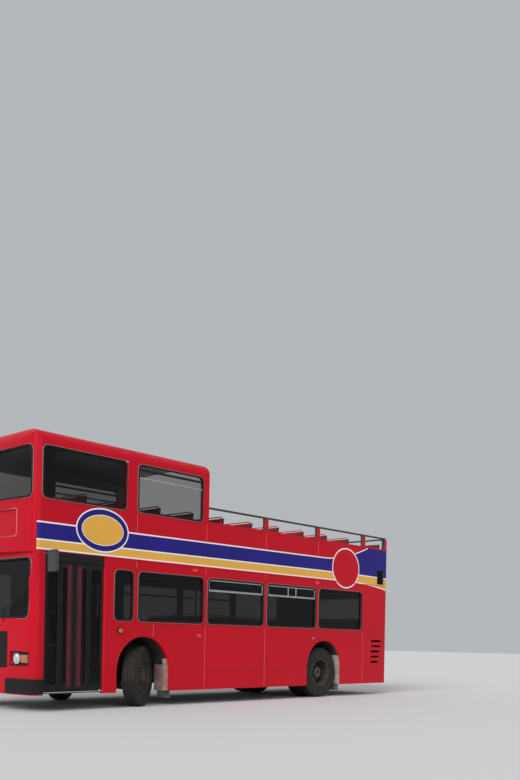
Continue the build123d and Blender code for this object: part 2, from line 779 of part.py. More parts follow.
dash_front_x = side_front_x + 70
dash_depth = 330
dash_height = lower_sill - 138
dash_half = 470
with BuildPart() as dashboard:
    with BuildSketch(Plane.XZ.offset(-cab_y + dash_half)) as dash_side:
        with BuildLine():
            Polyline(
                (dash_front_x, floor_height),
                (dash_front_x, dash_height + 60),
                (dash_front_x - 120, dash_height + 60),
                (dash_front_x - dash_depth, dash_height - 160),
                (dash_front_x - dash_depth + 70, dash_height - 330),
                (dash_front_x - 150, floor_height),
                close=True,
            )
        make_face()
        chamfer(dash_side.vertices().group_by(Axis.X)[0], 40)
    extrude(amount=-2 * dash_half)
    with BuildSketch(Plane(origin=(dash_front_x - 190, cab_y, dash_height - 140), z_dir=(-0.5, 0, 0.866))):
        Circle(34)
    extrude(amount=168)
write(dashboard, "dashboard")

wheel_rim_radius = 235
wheel_rim_width = 28
with BuildPart() as steering_wheel:
    with BuildSketch(Plane(origin=(dash_front_x - 280, cab_y, dash_height + 16), z_dir=(-0.5, 0, 0.866))):
        RegularPolygon(wheel_rim_radius, 24)
        RegularPolygon(wheel_rim_radius - wheel_rim_width, 24, mode=Mode.SUBTRACT)
        RegularPolygon(60, 12)
        Rectangle(2 * wheel_rim_radius - 20, 34)
        Rectangle(34, 2 * wheel_rim_radius - 20)
    extrude(amount=11, both=True)
write(steering_wheel, "steering_wheel")

cab_panel_y = cab_y + 420
cab_panel_top = floor_height + 900
cab_window_width = 620
cab_window_height = 560
with BuildPart() as cab_partition:
    keep_box(
        partition_x,
        partition_x + partition_thickness,
        -box_cut_y,
        cab_panel_y,
        floor_height,
        upper_floor_height - upper_floor_thickness,
        mode=Mode.ADD,
    )
    keep_box(
        partition_x + partition_thickness,
        dash_front_x - 420,
        cab_panel_y - partition_thickness,
        cab_panel_y,
        floor_height,
        cab_panel_top,
        mode=Mode.ADD,
    )
    with BuildSketch(Plane.YZ.offset(partition_x)):
        with Locations((cab_y - 60, deck_joint - 540)):
            Rectangle(cab_window_width, cab_window_height)
    extrude(amount=partition_thickness, mode=Mode.SUBTRACT)
write(cab_partition, "cab_partition")

# Grille bars in the front opening
grille_bars = 7
with BuildPart() as grille:
    bar_x = half_length - wall
    with BuildSketch(Plane.YZ.offset(bar_x)):
        with Locations((0, (grille_bottom + grille_top) / 2)):
            RectangleRounded(2 * grille_half - 4, grille_top - grille_bottom - 4, 38)
    extrude(amount=12)
    with BuildSketch(Plane.YZ.offset(bar_x + 12)):
        with Locations((0, (grille_bottom + grille_top) / 2)):
            with GridLocations(0, (grille_top - grille_bottom) / grille_bars, 1, grille_bars):
                Rectangle(2 * grille_half - 40, 28)
    extrude(amount=24)
write(grille, "grille")

# Lamps
headlamp_radius = 88
with BuildPart() as headlamps:
    for side in (1, -1):
        with BuildSketch(Plane.YZ.offset(lamp_face_x)):
            with Locations((side * (lamp_panel_inner + 120), lamp_z)):
                Circle(headlamp_radius)
            with Locations((side * (lamp_panel_outer - 140), lamp_z)):
                Rectangle(150, 120)
        extrude(amount=26)
write(headlamps, "headlamps")

with BuildPart() as tail_lamps:
    with BuildSketch(Plane.YZ.offset(tail_face_x)):
        for side in (1, -1):
            for z in tail_lamp_z:
                with Locations((side * tail_lamp_y, z)):
                    Rectangle(2 * tail_lamp_half, 2 * tail_lamp_half)
    extrude(amount=-30)
write(tail_lamps, "tail_lamps")

# Bumpers: black corners in front, a bar behind
bumper_out = 22
bumper_inner = half_width - 650
with BuildPart() as bumpers:
    with BuildSketch(Plane.XY.offset(skirt_height + 20)):
        add(plan_outline(-bumper_out))
        add(plan_outline(0), mode=Mode.SUBTRACT)
    extrude(amount=230)
    keep_box(side_front_x + 15, overall_length, -overall_length, overall_length, 0, overall_height)
    keep_box(0, overall_length, -bumper_inner, bumper_inner, 0, overall_height, mode=Mode.SUBTRACT)
write(bumpers, "bumpers")

# Mudflaps behind the wheels
with BuildPart() as mudflaps:
    for axle_x, half, width in ((front_axle_x, front_box_half, 330), (rear_axle_x, rear_box_half, 560)):
        for side in (1, -1):
            ya, yb = sorted((side * (box_cut_y - width), side * (box_cut_y - 5)))
            keep_box(axle_x - half - 14, axle_x - half, ya, yb, 130, floor_height - floor_thickness, mode=Mode.ADD)
write(mudflaps, "mudflaps")

# Mirrors, hung on arms beside the front corners
mirror_x = side_front_x + 65
mirror_height = 330
mirror_width = 200
mirror_thickness = 60
mirror_reach = 350  # body side to the middle of the glass
mirror_top = deck_joint - 18
mirror_arm_radius = 11
with BuildPart() as mirrors:
    for side in (1, -1):
        mirror_y = side * (half_width + mirror_reach)
        with BuildSketch(Plane.XZ.offset(-side * half_width)):
            with Locations((mirror_x, mirror_top - 40)):
                Circle(mirror_arm_radius)
        extrude(amount=-side * mirror_reach)
        with BuildSketch(Plane.YZ.offset(mirror_x)):
            with Locations((mirror_y, mirror_top - mirror_height / 2)):
                mirror_head = Rectangle(mirror_width, mirror_height)
            chamfer(mirror_head.vertices(), 25)
        extrude(amount=mirror_thickness)
write(mirrors, "mirrors")

# Handrails: upright poles between lower floor and ceiling, and a guard round the stairwell
pole_radius = 16
pole_places = [
    (door_rear_x - 55, 420),
    (door_rear_x - 55, -120),
    (first_lower_row + 850, 330),
    (first_lower_row - 700, 300),
]
guard_bar = 30
guard_heights = [450, 900]
guard_y = well_inner_y + 15
guard_posts = [(well_rear_x, guard_y), (well_front_x + 5, guard_y), (well_front_x + 5, -box_cut_y + 10)]
with BuildPart() as handrails:
    with BuildSketch(Plane.XY.offset(floor_height)):
        with Locations(pole_places):
            Circle(pole_radius)
    extrude(amount=upper_floor_height - upper_floor_thickness - floor_height)
    with BuildSketch(Plane.XY.offset(upper_floor_height)):
        with Locations(guard_posts):
            Rectangle(guard_bar, guard_bar, align=(Align.MIN, Align.MIN))
    extrude(amount=guard_heights[-1])
    for height in guard_heights:
        z1 = upper_floor_height + height
        for (xa, ya), (xb, yb) in zip(guard_posts[:-1], guard_posts[1:]):
            x0, x1 = sorted((xa, xb))
            y0, y1 = sorted((ya, yb))
            keep_box(x0, x1 + guard_bar, y0, y1 + guard_bar, z1 - guard_bar, z1, mode=Mode.ADD)
write(handrails, "handrails")

# Engine, one plain block over the cradle, and the fuel tank beside the frame
with BuildPart() as engine:
    keep_box(
        engine_front_x - engine_length,
        engine_front_x,
        -engine_width / 2,
        engine_width / 2,
        rail_bottom,
        rail_bottom + engine_height,
        mode=Mode.ADD,
    )
    chamfer(engine.edges().filter_by(Axis.Y), 40)
write(engine, "engine")

tank_radius = 230
tank_length = 1300
with BuildPart() as fuel_tank:
    with BuildSketch(Plane.YZ.offset(rear_axle_x + 2060)):
        with Locations((-rail_y - rail_section_width / 2 - tank_radius, floor_height - floor_thickness - 140)):
            RectangleRounded(2 * tank_radius, 2 * tank_radius - 200, 60)
    extrude(amount=tank_length)
write(fuel_tank, "fuel_tank")

# Front axle: dropped beam between the kingpins, with leaf springs under the rails
beam_bottom = 280
beam_half = 50
spring_length = 1300
spring_thickness = 30
spring_half = 38
kingpin_eye = 46
eye_height = 150
post_inner = 150  # beam end's upright, measured inwards from the kingpin
post_outer = 80
post_half = 35
eye_bottom = tyre_radius - eye_height / 2
with BuildPart() as front_axle:
    beam_end = kingpin_y - post_outer
    spring_bottom = rail_bottom - spring_thickness
    x0 = front_axle_x - beam_half
    x1 = front_axle_x + beam_half
    keep_box(x0, x1, -beam_end, beam_end, beam_bottom, spring_bottom, mode=Mode.ADD)
    for side in (1, -1):
        with Locations((front_axle_x, side * (kingpin_y - (post_inner + post_outer) / 2), beam_bottom)):
            Box(
                2 * post_half,
                post_inner - post_outer,
                eye_bottom + eye_height - beam_bottom,
                align=(Align.CENTER, Align.CENTER, Align.MIN),
            )
        with Locations((front_axle_x, side * (kingpin_y - post_outer / 2), eye_bottom)):
            Box(2 * post_half, post_outer, eye_height, align=(Align.CENTER, Align.CENTER, Align.MIN))
        with Locations((front_axle_x, side * kingpin_y, eye_bottom)):
            Cylinder(kingpin_eye, eye_height, align=(Align.CENTER, Align.CENTER, Align.MIN))
        with Locations((front_axle_x, side * kingpin_y, eye_bottom - 60)):
            Cylinder(kingpin_radius, eye_height + 120, align=(Align.CENTER, Align.CENTER, Align.MIN))
        with Locations((front_axle_x, side * rail_y, spring_bottom)):
            Box(spring_length, 2 * spring_half, spring_thickness, align=(Align.CENTER, Align.CENTER, Align.MIN))
write(front_axle, "front_axle")

# Rear axle: tubes, differential and leaf springs
axle_tube_radius = 75
drum_radius = 205
rear_tube_half = wheel_track / 2 - twin_spacing + 130
with BuildPart() as rear_axle:
    with BuildSketch(Plane.XZ):
        with Locations((rear_axle_x, tyre_radius)):
            Circle(axle_tube_radius)
    extrude(amount=rear_tube_half, both=True)
    with BuildSketch(Plane.XZ):
        with Locations((rear_axle_x, tyre_radius)):
            Circle(hub_bore - 0.05)
    extrude(amount=wheel_track / 2 + 20, both=True)
    with BuildSketch(Plane.XZ):
        with Locations((rear_axle_x, tyre_radius)):
            Circle(drum_radius)
    extrude(amount=170, both=True)
    for side in (1, -1):
        with Locations((rear_axle_x, side * rail_y, rail_bottom - spring_thickness)):
            Box(spring_length, 2 * spring_half, spring_thickness, align=(Align.CENTER, Align.CENTER, Align.MIN))
        with Locations((rear_axle_x, side * rail_y, rail_bottom)):
            Box(120, 2 * spring_half, tyre_radius - rail_bottom, align=(Align.CENTER, Align.CENTER, Align.MIN))
write(rear_axle, "rear_axle")


# Wheels: profiles in the plane of the axle, revolved about it
def tyre_section():
    """Half section of a tyre from bead to bead, x across the tread and y the radius."""
    with Locations((0, (rim_radius + tyre_radius) / 2)):
        Rectangle(tyre_width, tyre_radius - rim_radius)


disc_thickness = 16
hub_radius = 110


def wheel_plane(x, y, turn):
    """Plane through a wheel's middle, with its x axis along the axle (outwards to the left)."""
    across = cos(radians(turn))
    ahead = sin(radians(turn))
    return Plane(origin=(x, y, tyre_radius), x_dir=(-ahead, across, 0), z_dir=(across, ahead, 0))


def wheel_centre(side, turn):
    """Middle of a front wheel once its knuckle is turned about the kingpin."""
    reach = wheel_track / 2 - kingpin_y
    return (
        front_axle_x - side * reach * sin(radians(turn)),
        side * (kingpin_y + reach * cos(radians(turn))),
    )


def rim_section(side, disc_at, hub_out, inner_edge):
    """Half section of a rim with its disc and hub; side is the way the outer face looks."""
    root = rim_radius - rim_lip
    with BuildLine() as section:
        Polyline(
            (side * inner_edge, rim_radius),
            (side * rim_edge, rim_radius),
            (side * rim_edge, root),
            (side * (disc_at + disc_thickness), root),
            (side * (disc_at + disc_thickness), hub_radius),
            (side * (disc_at + hub_out), hub_radius),
            (side * (disc_at + hub_out), hub_bore),
            (side * disc_at, hub_bore),
            (side * disc_at, root),
            (side * inner_edge, root),
            close=True,
        )
    make_face(section.edges())


# Where the disc stands, how far the hub comes out of it, and the barrel's inner edge
rim_edge = tyre_width / 2 - 6
front_rim = {"disc_at": 25, "hub_out": 75, "inner_edge": -rim_edge}
twin_rim = {"disc_at": -150, "hub_out": 192, "inner_edge": -rim_edge - twin_spacing}

for name, side in (("left", 1), ("right", -1)):
    x, y = wheel_centre(side, steer_at_rest)
    plane = wheel_plane(x, y, steer_at_rest)
    spin = Axis(plane.origin, plane.x_dir)
    with BuildPart() as tyre:
        with BuildSketch(plane):
            tyre_section()
        revolve(axis=spin)
    write(tyre, f"tyre_front_{name}")
    with BuildPart() as rim:
        with BuildSketch(plane):
            rim_section(side, **front_rim)
        revolve(axis=spin)
    write(rim, f"rim_front_{name}")

for name, side in (("left", 1), ("right", -1)):
    middles = [side * wheel_track / 2, side * (wheel_track / 2 - twin_spacing)]
    with BuildPart() as tyre:
        for y in middles:
            plane = wheel_plane(rear_axle_x, y, 0)
            with BuildSketch(plane):
                tyre_section()
            revolve(axis=Axis(plane.origin, plane.x_dir))
    write(tyre, f"tyre_rear_{name}")
    with BuildPart() as rim:
        plane = wheel_plane(rear_axle_x, middles[0], 0)
        with BuildSketch(plane):
            rim_section(side, **twin_rim)
        revolve(axis=Axis(plane.origin, plane.x_dir))
    write(rim, f"rim_rear_{name}")

# Steering knuckles, modelled straight and turned about the kingpin
yoke_thickness = 40
yoke_clear = 6
stub_radius = hub_bore - 0.05
lower_yoke_bottom = 364
lower_yoke_top = eye_bottom - yoke_clear
upper_yoke_bottom = eye_bottom + eye_height + yoke_clear
arm_thickness = 28
for name, side in (("left", 1), ("right", -1)):
    with BuildPart() as knuckle:
        for z0, z1 in ((lower_yoke_bottom, lower_yoke_top), (upper_yoke_bottom, upper_yoke_bottom + yoke_thickness)):
            with BuildSketch(Plane.XY.offset(z0)):
                with Locations((0, side * 15)):
                    Rectangle(90, 110)
                Circle(kingpin_radius + 0.3, mode=Mode.SUBTRACT)
            extrude(amount=z1 - z0)
        with Locations((0, side * 70, lower_yoke_bottom)):
            Box(
                80,
                30,
                upper_yoke_bottom + yoke_thickness - lower_yoke_bottom,
                align=(Align.CENTER, Align.CENTER, Align.MIN),
            )
        with BuildSketch(Plane.XZ.offset(-side * 60)):
            with Locations((0, tyre_radius)):
                Circle(stub_radius)
        extrude(amount=-side * (wheel_track / 2 - kingpin_y + 40))
        with BuildSketch(Plane.XY.offset(lower_yoke_bottom)):
            with Locations((-steering_arm / 2 - 15, 0)):
                Rectangle(steering_arm, 30)
            Circle(kingpin_radius + 0.3, mode=Mode.SUBTRACT)
        extrude(amount=arm_thickness)
    knuckle.part = Pos(front_axle_x, side * kingpin_y, 0) * Rot(0, 0, steer_at_rest) * knuckle.part
    write(knuckle, f"knuckle_{name}")

# Tie rod between the ends of the steering arms
arm_x = front_axle_x - steering_arm * cos(radians(steer_at_rest))
arm_y = -steering_arm * sin(radians(steer_at_rest))
with BuildPart() as tie_rod:
    with BuildSketch(Plane.XZ.offset(-arm_y - kingpin_y)):
        with Locations((arm_x, lower_yoke_bottom - 3 - tie_rod_diameter / 2)):
            Circle(tie_rod_diameter / 2)
    extrude(amount=2 * kingpin_y)
write(tie_rod, "tie_rod")

# Entrance leaves: outer leaves swing on the jambs, inner leaves fold back on them
opening = door_front_x - door_rear_x
leaf_reach = (opening - 2 * leaf_jamb_gap - leaf_meeting_gap) / 4  # from one pivot line to the next
leaf_y = half_width - leaf_recess - leaf_thickness / 2
for name, jamb_x, way in (("front", door_front_x, -1), ("rear", door_rear_x, 1)):
    pivot_x = jamb_x + way * leaf_jamb_gap
    fold_x = pivot_x + way * leaf_reach
    spans = (
        ("outer", pivot_x - way * leaf_pivot_inset, fold_x - way * leaf_joint_gap / 2),
        ("inner", fold_x + way * leaf_joint_gap / 2, fold_x + way * leaf_reach),
    )
    for place, xa, xb in spans:
        x0, x1 = sorted((xa, xb))
        with BuildPart() as leaf:
            leaf_y0 = leaf_y - leaf_thickness / 2
            leaf_y1 = leaf_y + leaf_thickness / 2
            keep_box(x0, x1, leaf_y0, leaf_y1, door_bottom, door_top - 10, mode=Mode.ADD)
            with BuildSketch(Plane.XZ.offset(-leaf_y)):
                with Locations(((x0 + x1) / 2, (door_bottom + door_top) / 2)):
                    Rectangle(x1 - x0 - 2 * leaf_stile, door_top - door_bottom - 2 * leaf_rail)
            extrude(amount=leaf_thickness, both=True, mode=Mode.SUBTRACT)
            with BuildSketch(Plane.XZ.offset(-leaf_y)):
                with Locations(((x0 + x1) / 2, (door_bottom + door_top) / 2)):
                    Rectangle(x1 - x0 - 2 * leaf_stile + 2, door_top - door_bottom - 2 * leaf_rail + 2)
            extrude(amount=glass_thickness / 2, both=True)
        write(leaf, f"door_{name}_{place}")
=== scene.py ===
"""Looks of the open top double decker bus. Metres, in the CAD's frame: +X forward, +Y left, +Z up."""

import bpy
import bmesh
import math
from mathutils import Matrix, Vector


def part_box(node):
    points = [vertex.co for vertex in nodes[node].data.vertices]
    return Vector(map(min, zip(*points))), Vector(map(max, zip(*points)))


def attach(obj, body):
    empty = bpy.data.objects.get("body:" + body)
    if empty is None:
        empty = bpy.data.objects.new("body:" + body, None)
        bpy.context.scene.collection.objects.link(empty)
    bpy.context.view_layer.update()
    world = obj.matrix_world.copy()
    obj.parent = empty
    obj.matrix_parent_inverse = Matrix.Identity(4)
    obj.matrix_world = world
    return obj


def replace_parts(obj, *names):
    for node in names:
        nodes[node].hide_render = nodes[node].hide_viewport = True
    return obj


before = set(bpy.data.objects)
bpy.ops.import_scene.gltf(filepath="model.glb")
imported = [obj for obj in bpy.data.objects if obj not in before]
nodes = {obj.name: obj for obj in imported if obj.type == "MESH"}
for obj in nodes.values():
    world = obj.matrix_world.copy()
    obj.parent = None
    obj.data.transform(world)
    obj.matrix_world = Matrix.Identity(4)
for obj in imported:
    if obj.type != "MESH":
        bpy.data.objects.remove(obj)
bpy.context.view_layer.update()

# Body
half_length = 4.78
half_width = 1.25
front_bow = 0.07
rear_bow = 0.04
front_corner = 0.12
rear_corner = 0.10
screen_bottom = 1.457
screen_head = 2.37
screen_rake = 0.095
rake_low = screen_bottom - 0.06
rake_high = screen_head + 0.03
lip_low = 2.45
deck_joint = 2.49
upper_sill = 3.312
upper_head = 4.10
front_head_rake = 0.035
lower_sill = 1.468
lower_head = 2.285
window_corner = 0.075
first_pillar_x = 2.725
bay_length = 1.628
pillar_half = 0.059
pillars = [first_pillar_x - bay_length * n for n in range(5)]
roof_rear_x = 1.05
roof_height = 4.40
roof_crown = 0.06
roof_edge_radius = 0.19
roof_rear_radius = 0.14
roof_front_radius = 0.21
roof_front_x = 4.535
open_sill = 3.33
skirt_seam = 0.582
waist_seam = lower_sill - 0.045
upper_seam = upper_sill - 0.05
seam_half = 0.003

# Wheels and arches
front_axle_x = 2.543
rear_axle_x = -2.41
arch_radius = 0.572
arch_z = 0.63
arch_foot = 0.27
tyre_radius = 0.525
tyre_half_width = 0.1275
bead_radius = 0.287
twin_spacing = 0.32
front_disc_out = 0.041
rear_disc_in = 0.134
steer_at_rest = math.radians(32)

# Floors
lower_floor = 0.60
upper_floor = 2.45
upper_ceiling = 2.38
second_step = 0.45

sides = ((1, "left"), (-1, "right"))


# Materials
def material(name, color, rough=0.5, metal=0.0, coat=0.0, alpha=1.0, shine=0.5):
    """A plain procedural material."""
    mat = bpy.data.materials.new(name)
    mat.use_nodes = True
    shader = mat.node_tree.nodes["Principled BSDF"]
    for key, value in (
        ("Base Color", (*color, 1)),
        ("Roughness", rough),
        ("Metallic", metal),
        ("Specular IOR Level", shine),
        ("Coat Weight", coat),
        ("Coat Roughness", 0.08),
        ("Alpha", alpha),
    ):
        shader.inputs[key].default_value = value
    return mat


def node(tree, kind, operation=None, **values):
    """Adds a shader node and sets its inputs by name."""
    made = tree.nodes.new(kind)
    if operation:
        made.operation = operation
    for name, value in values.items():
        made.inputs[name.replace("_", " ")].default_value = value
    return made


def object_noise(tree, scale, detail=5.0, stretch=None):
    """Noise in the object's own coordinates, stretched along an axis if asked."""
    source = node(tree, "ShaderNodeTexCoord").outputs["Object"]
    noise = node(tree, "ShaderNodeTexNoise", Scale=scale, Detail=detail, Roughness=0.6)
    if stretch:
        mapping = node(tree, "ShaderNodeMapping", Scale=stretch)
        tree.links.new(source, mapping.inputs["Vector"])
        source = mapping.outputs["Vector"]
    tree.links.new(source, noise.inputs["Vector"])
    return noise.outputs["Fac"]


def ramp(tree, value, low, high, low_color, high_color):
    """Fades between two colours as a value goes from low to high."""
    made = node(tree, "ShaderNodeValToRGB")
    for stop, place, color in zip(made.color_ramp.elements, (low, high), (low_color, high_color)):
        stop.position = place
        stop.color = (*color, 1)
    tree.links.new(value, made.inputs["Fac"])
    return made.outputs["Color"]


def worn(mat, dark, scale, low=0.35, high=0.65):
    """Adds soft dirt: colour and gloss vary with a noise."""
    spread = 0.1
    least_rough = 0.03
    tree = mat.node_tree
    shader = tree.nodes["Principled BSDF"]
    color = tuple(shader.inputs["Base Color"].default_value)[:3]
    rough = shader.inputs["Roughness"].default_value
    noise = object_noise(tree, scale)
    tree.links.new(ramp(tree, noise, low, high, dark, color), shader.inputs["Base Color"])
    glossy = max(rough - spread, least_rough)
    gloss = node(tree, "ShaderNodeMapRange", To_Min=rough + spread, To_Max=glossy)
    tree.links.new(noise, gloss.inputs["Value"])
    tree.links.new(gloss.outputs["Result"], shader.inputs["Roughness"])
    return mat


def paint_over(mat, mask, color):
    """Lays a colour over a material's own where the mask is 1."""
    tree = mat.node_tree
    base = tree.nodes["Principled BSDF"].inputs["Base Color"]
    mix = node(tree, "ShaderNodeMix")
    mix.data_type = "RGBA"
    under, over = mix.inputs[6], mix.inputs[7]
    over.default_value = (*color, 1)
    tree.links.new(mask, mix.inputs["Factor"])
    tree.links.new(base.links[0].from_socket, under)
    tree.links.new(mix.outputs[2], base)
    return mat


def lined(mat, inside):
    """Gives a shell panel another colour on the faces that look into the bus."""
    tree = mat.node_tree
    place = node(tree, "ShaderNodeTexCoord")
    from_middle = node(tree, "ShaderNodeVectorMath", "SUBTRACT")
    from_middle.inputs[1].default_value = (0, 0, 2.3)
    tree.links.new(place.outputs["Object"], from_middle.inputs[0])
    facing = node(tree, "ShaderNodeVectorMath", "DOT_PRODUCT")
    tree.links.new(from_middle.outputs["Vector"], facing.inputs[0])
    tree.links.new(place.outputs["Normal"], facing.inputs[1])
    inward = node(tree, "ShaderNodeMath", "LESS_THAN")
    inward.inputs[1].default_value = -0.3
    tree.links.new(facing.outputs["Value"], inward.inputs[0])
    return paint_over(mat, inward.outputs["Value"], inside)


def scuffs_and_sheen(mat, pale, z_low, z_high):
    """Adds pale marks where a long noise peaks, most of all midway between two heights: partly scuffs,
    partly a painted highlight on a round edge.
    """
    tree = mat.node_tree
    parts = node(tree, "ShaderNodeSeparateXYZ")
    tree.links.new(node(tree, "ShaderNodeTexCoord").outputs["Object"], parts.inputs["Vector"])
    height = node(tree, "ShaderNodeMapRange", From_Min=z_low, From_Max=z_high)
    tree.links.new(parts.outputs["Z"], height.inputs["Value"])
    band = node(tree, "ShaderNodeMath", "PINGPONG")
    band.inputs[1].default_value = 0.5
    tree.links.new(height.outputs["Result"], band.inputs[0])
    streaks = object_noise(tree, 3.5, 8.0, (1.0, 6.0, 9.0))
    peaks = ramp(tree, streaks, 0.6, 0.72, (0, 0, 0), (1, 1, 1))
    mask = node(tree, "ShaderNodeMath", "MULTIPLY")
    tree.links.new(band.outputs["Value"], mask.inputs[0])
    tree.links.new(peaks, mask.inputs[1])
    return paint_over(mat, mask.outputs["Value"], pale)


def bus_red(name, rough=0.34):
    """The bus's red paint, a little faded in places."""
    paint = material(name, (0.53, 0.0015, 0.014), rough, coat=0.08, shine=0.14)
    return worn(paint, (0.48, 0.0015, 0.012), 0.5)


# Inside faces of the shell: the warm grey of the lining, darkened as painted shade of the bus's inside.
shaded_lining_color = (0.075, 0.07, 0.062)
red = bus_red("red paint")
shell_red = lined(bus_red("shell paint"), shaded_lining_color)
# Pale streaks on the roof's round edge, strongest midway up it: partly scuffs, partly a painted highlight.
roof_red = scuffs_and_sheen(bus_red("roof paint", 0.36), (0.6, 0.3, 0.3), 4.2, 4.36)
roof_red = lined(roof_red, shaded_lining_color)
red_dark = material("seam shadow", (0.13, 0.003, 0.008), 0.5)
# Painted highlight: a lightened copy of the red paint for the lit edges of joints and of the sign's rim.
seam_highlight = material("seam edge", (0.62, 0.16, 0.18), 0.4)
# Door stiles: the bus red darkened as painted shade over the entrance, with some random tone.
shaded_door_red = worn(material("door red in painted shade", (0.11, 0.006, 0.015), 0.35, shine=0.3), (0.07, 0.004, 0.01), 3)
blue = worn(material("blue band", (0.018, 0.012, 0.2), 0.36, shine=0.18), (0.014, 0.01, 0.17), 1.0)
yellow = worn(material("yellow band", (0.75, 0.4, 0.06), 0.36, shine=0.3), (0.7, 0.37, 0.055), 1.0)
white = material("white line", (0.82, 0.78, 0.78), 0.4, shine=0.3)
black = worn(material("black trim", (0.006, 0.006, 0.007), 0.42, shine=0.2), (0.011, 0.01, 0.01), 9)
rubber = worn(material("black rubber", (0.008, 0.008, 0.008), 0.6, shine=0.2), (0.014, 0.013, 0.012), 8)
bead = material("glazing bead", (0.3, 0.2, 0.21), 0.35, metal=0.3)
tyre_rubber = worn(material("tyre", (0.013, 0.0125, 0.012), 0.75, shine=0.3), (0.028, 0.026, 0.023), 7)
flap_rubber = worn(material("mudflap rubber", (0.17, 0.155, 0.145), 0.75), (0.09, 0.082, 0.076), 7)
rim_paint = worn(material("wheel paint", (0.1, 0.085, 0.075), 0.5, metal=0.2), (0.05, 0.04, 0.035), 9)
chrome = material("bright metal", (0.75, 0.75, 0.76), 0.2, metal=1.0)
alloy = worn(material("alloy frame", (0.5, 0.5, 0.51), 0.35, metal=0.8), (0.36, 0.36, 0.37), 20)
# Painted shade: the window glass is near black and half opaque so the inside of the bus looks dark.
glass = material("tinted glass", (0.004, 0.005, 0.006), 0.03, alpha=0.56, shine=0.25)
clear_glass = material("clear glass", (0.006, 0.007, 0.008), 0.03, alpha=0.4, shine=0.22)
# Painted shade: the door glass is near black and half opaque so the inside looks dark.
door_glass = material("door glass", (0.003, 0.003, 0.004), 0.04, alpha=0.52, shine=0.2)
lining = worn(material("lining", (0.2, 0.19, 0.17), 0.6), (0.14, 0.13, 0.12), 4)
floor_grey = worn(material("floor", (0.07, 0.07, 0.073), 0.7), (0.045, 0.045, 0.045), 6)
vinyl = worn(material("seat vinyl", (0.24, 0.012, 0.02), 0.45, shine=0.3), (0.17, 0.009, 0.015), 4)
moulding = worn(material("seat moulding", (0.05, 0.05, 0.055), 0.5), (0.035, 0.034, 0.036), 6)
frame_black = worn(material("frame paint", (0.02, 0.02, 0.02), 0.7), (0.05, 0.042, 0.034), 6)
iron = worn(material("iron", (0.06, 0.052, 0.046), 0.7, metal=0.4), (0.1, 0.06, 0.035), 9)
# Guard colour: pale, partly weathering, partly painted sunlight on the walls behind the wheels.
guard = worn(material("weathered guard with painted sunlight", (0.52, 0.4, 0.37), 0.7), (0.3, 0.13, 0.12), 4.5, 0.3, 0.6)
rail_red = material("rail red", (0.75, 0.04, 0.02), 0.35, coat=0.3)
rail_dark = worn(material("rail wood", (0.045, 0.032, 0.028), 0.6), (0.025, 0.02, 0.018), 8)
lamp_clear = material("lamp lens", (0.62, 0.63, 0.64), 0.06, alpha=0.85, coat=1.0)
lamp_amber = material("amber lens", (0.5, 0.12, 0.015), 0.15, coat=0.6)
mirror_grey = worn(material("mirror shell", (0.05, 0.05, 0.052), 0.5), (0.035, 0.035, 0.035), 9)
lamp_red = material("red lens", (0.42, 0.006, 0.008), 0.15, coat=1.0)
plate = material("blank plate", (0.78, 0.78, 0.74), 0.4)
mirror_glass = material("mirror glass", (0.7, 0.72, 0.74), 0.03, metal=1.0)
floor_pale = material("studio floor", (0.68, 0.68, 0.675), 0.85)

# CAD nodes that keep their shape: material, width of their bevel, nodes
node_looks = (
    (shell_red, 0.004, "side_lower_left side_lower_right side_upper_left side_upper_right"),
    (shell_red, 0.0, "front_lower front_upper rear_lower rear_upper"),
    (roof_red, 0.0, "roof"),
    (red, 0.0, "engine_cover"),
    (rail_dark, 0.004, "top_rail"),
    (glass, 0.0, "glass_lower_deck"),
    (clear_glass, 0.0, "glass_upper_deck"),
    (floor_grey, 0.0, "floor_lower floor_upper entrance_steps engine_bay"),
    (frame_black, 0.0, "wheel_boxes"),
    (lining, 0.004, "staircase"),
    (lining, 0.0, "cab_partition"),
    (black, 0.01, "dashboard"),
    (black, 0.003, "grille air_intakes"),
    (lamp_clear, 0.0, "headlamps"),
    (lamp_red, 0.004, "tail_lamps"),
    (black, 0.006, "bumpers"),
    (flap_rubber, 0.002, "mudflaps"),
    (mirror_grey, 0.008, "mirrors"),
    (rail_red, 0.0, "handrails"),
    (frame_black, 0.004, "chassis_rails cross_members"),
    (iron, 0.01, "engine"),
    (frame_black, 0.01, "fuel_tank"),
    (iron, 0.004, "front_axle rear_axle knuckle_left knuckle_right"),
    (iron, 0.0, "tie_rod"),
    (rim_paint, 0.002, "rim_front_left rim_front_right rim_rear_left rim_rear_right"),
)


def bevel(obj, width):
    """Rounds an object's edges."""
    rounding = obj.modifiers.new("edges", "BEVEL")
    rounding.width = width
    rounding.segments = 2
    rounding.limit_method = "ANGLE"
    rounding.angle_limit = math.radians(40)


def dress_nodes():
    """Gives every CAD node its material."""
    for mat, width, names in node_looks:
        for name in names.split():
            obj = nodes[name]
            obj.data.materials.clear()
            obj.data.materials.append(mat)
            if width:
                bevel(obj, width)


# Pieces: a place function turns (u, v, w) into a point
def add_object(name, data):
    """A new object in the scene."""
    obj = bpy.data.objects.new(name, data)
    bpy.context.scene.collection.objects.link(obj)
    return obj


def mesh_piece(name, verts, faces, mat, body="body", round_edges=0.0):
    """A mesh object that rides on a CAD body, smooth apart from its sharp corners."""
    sharp = math.radians(35)
    name = name.replace(" ", "_")
    mesh = bpy.data.meshes.new(name)
    mesh.from_pydata([tuple(v) for v in verts], [], faces)
    work = bmesh.new()
    work.from_mesh(mesh)
    bmesh.ops.recalc_face_normals(work, faces=work.faces)
    work.to_mesh(mesh)
    work.free()
    obj = add_object(name, mesh)
    mesh.materials.append(mat)
    if round_edges:
        bevel(obj, round_edges)
    for face in mesh.polygons:
        face.use_smooth = True
    mesh.set_sharp_from_angle(angle=sharp)
    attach(obj, body)
    return obj


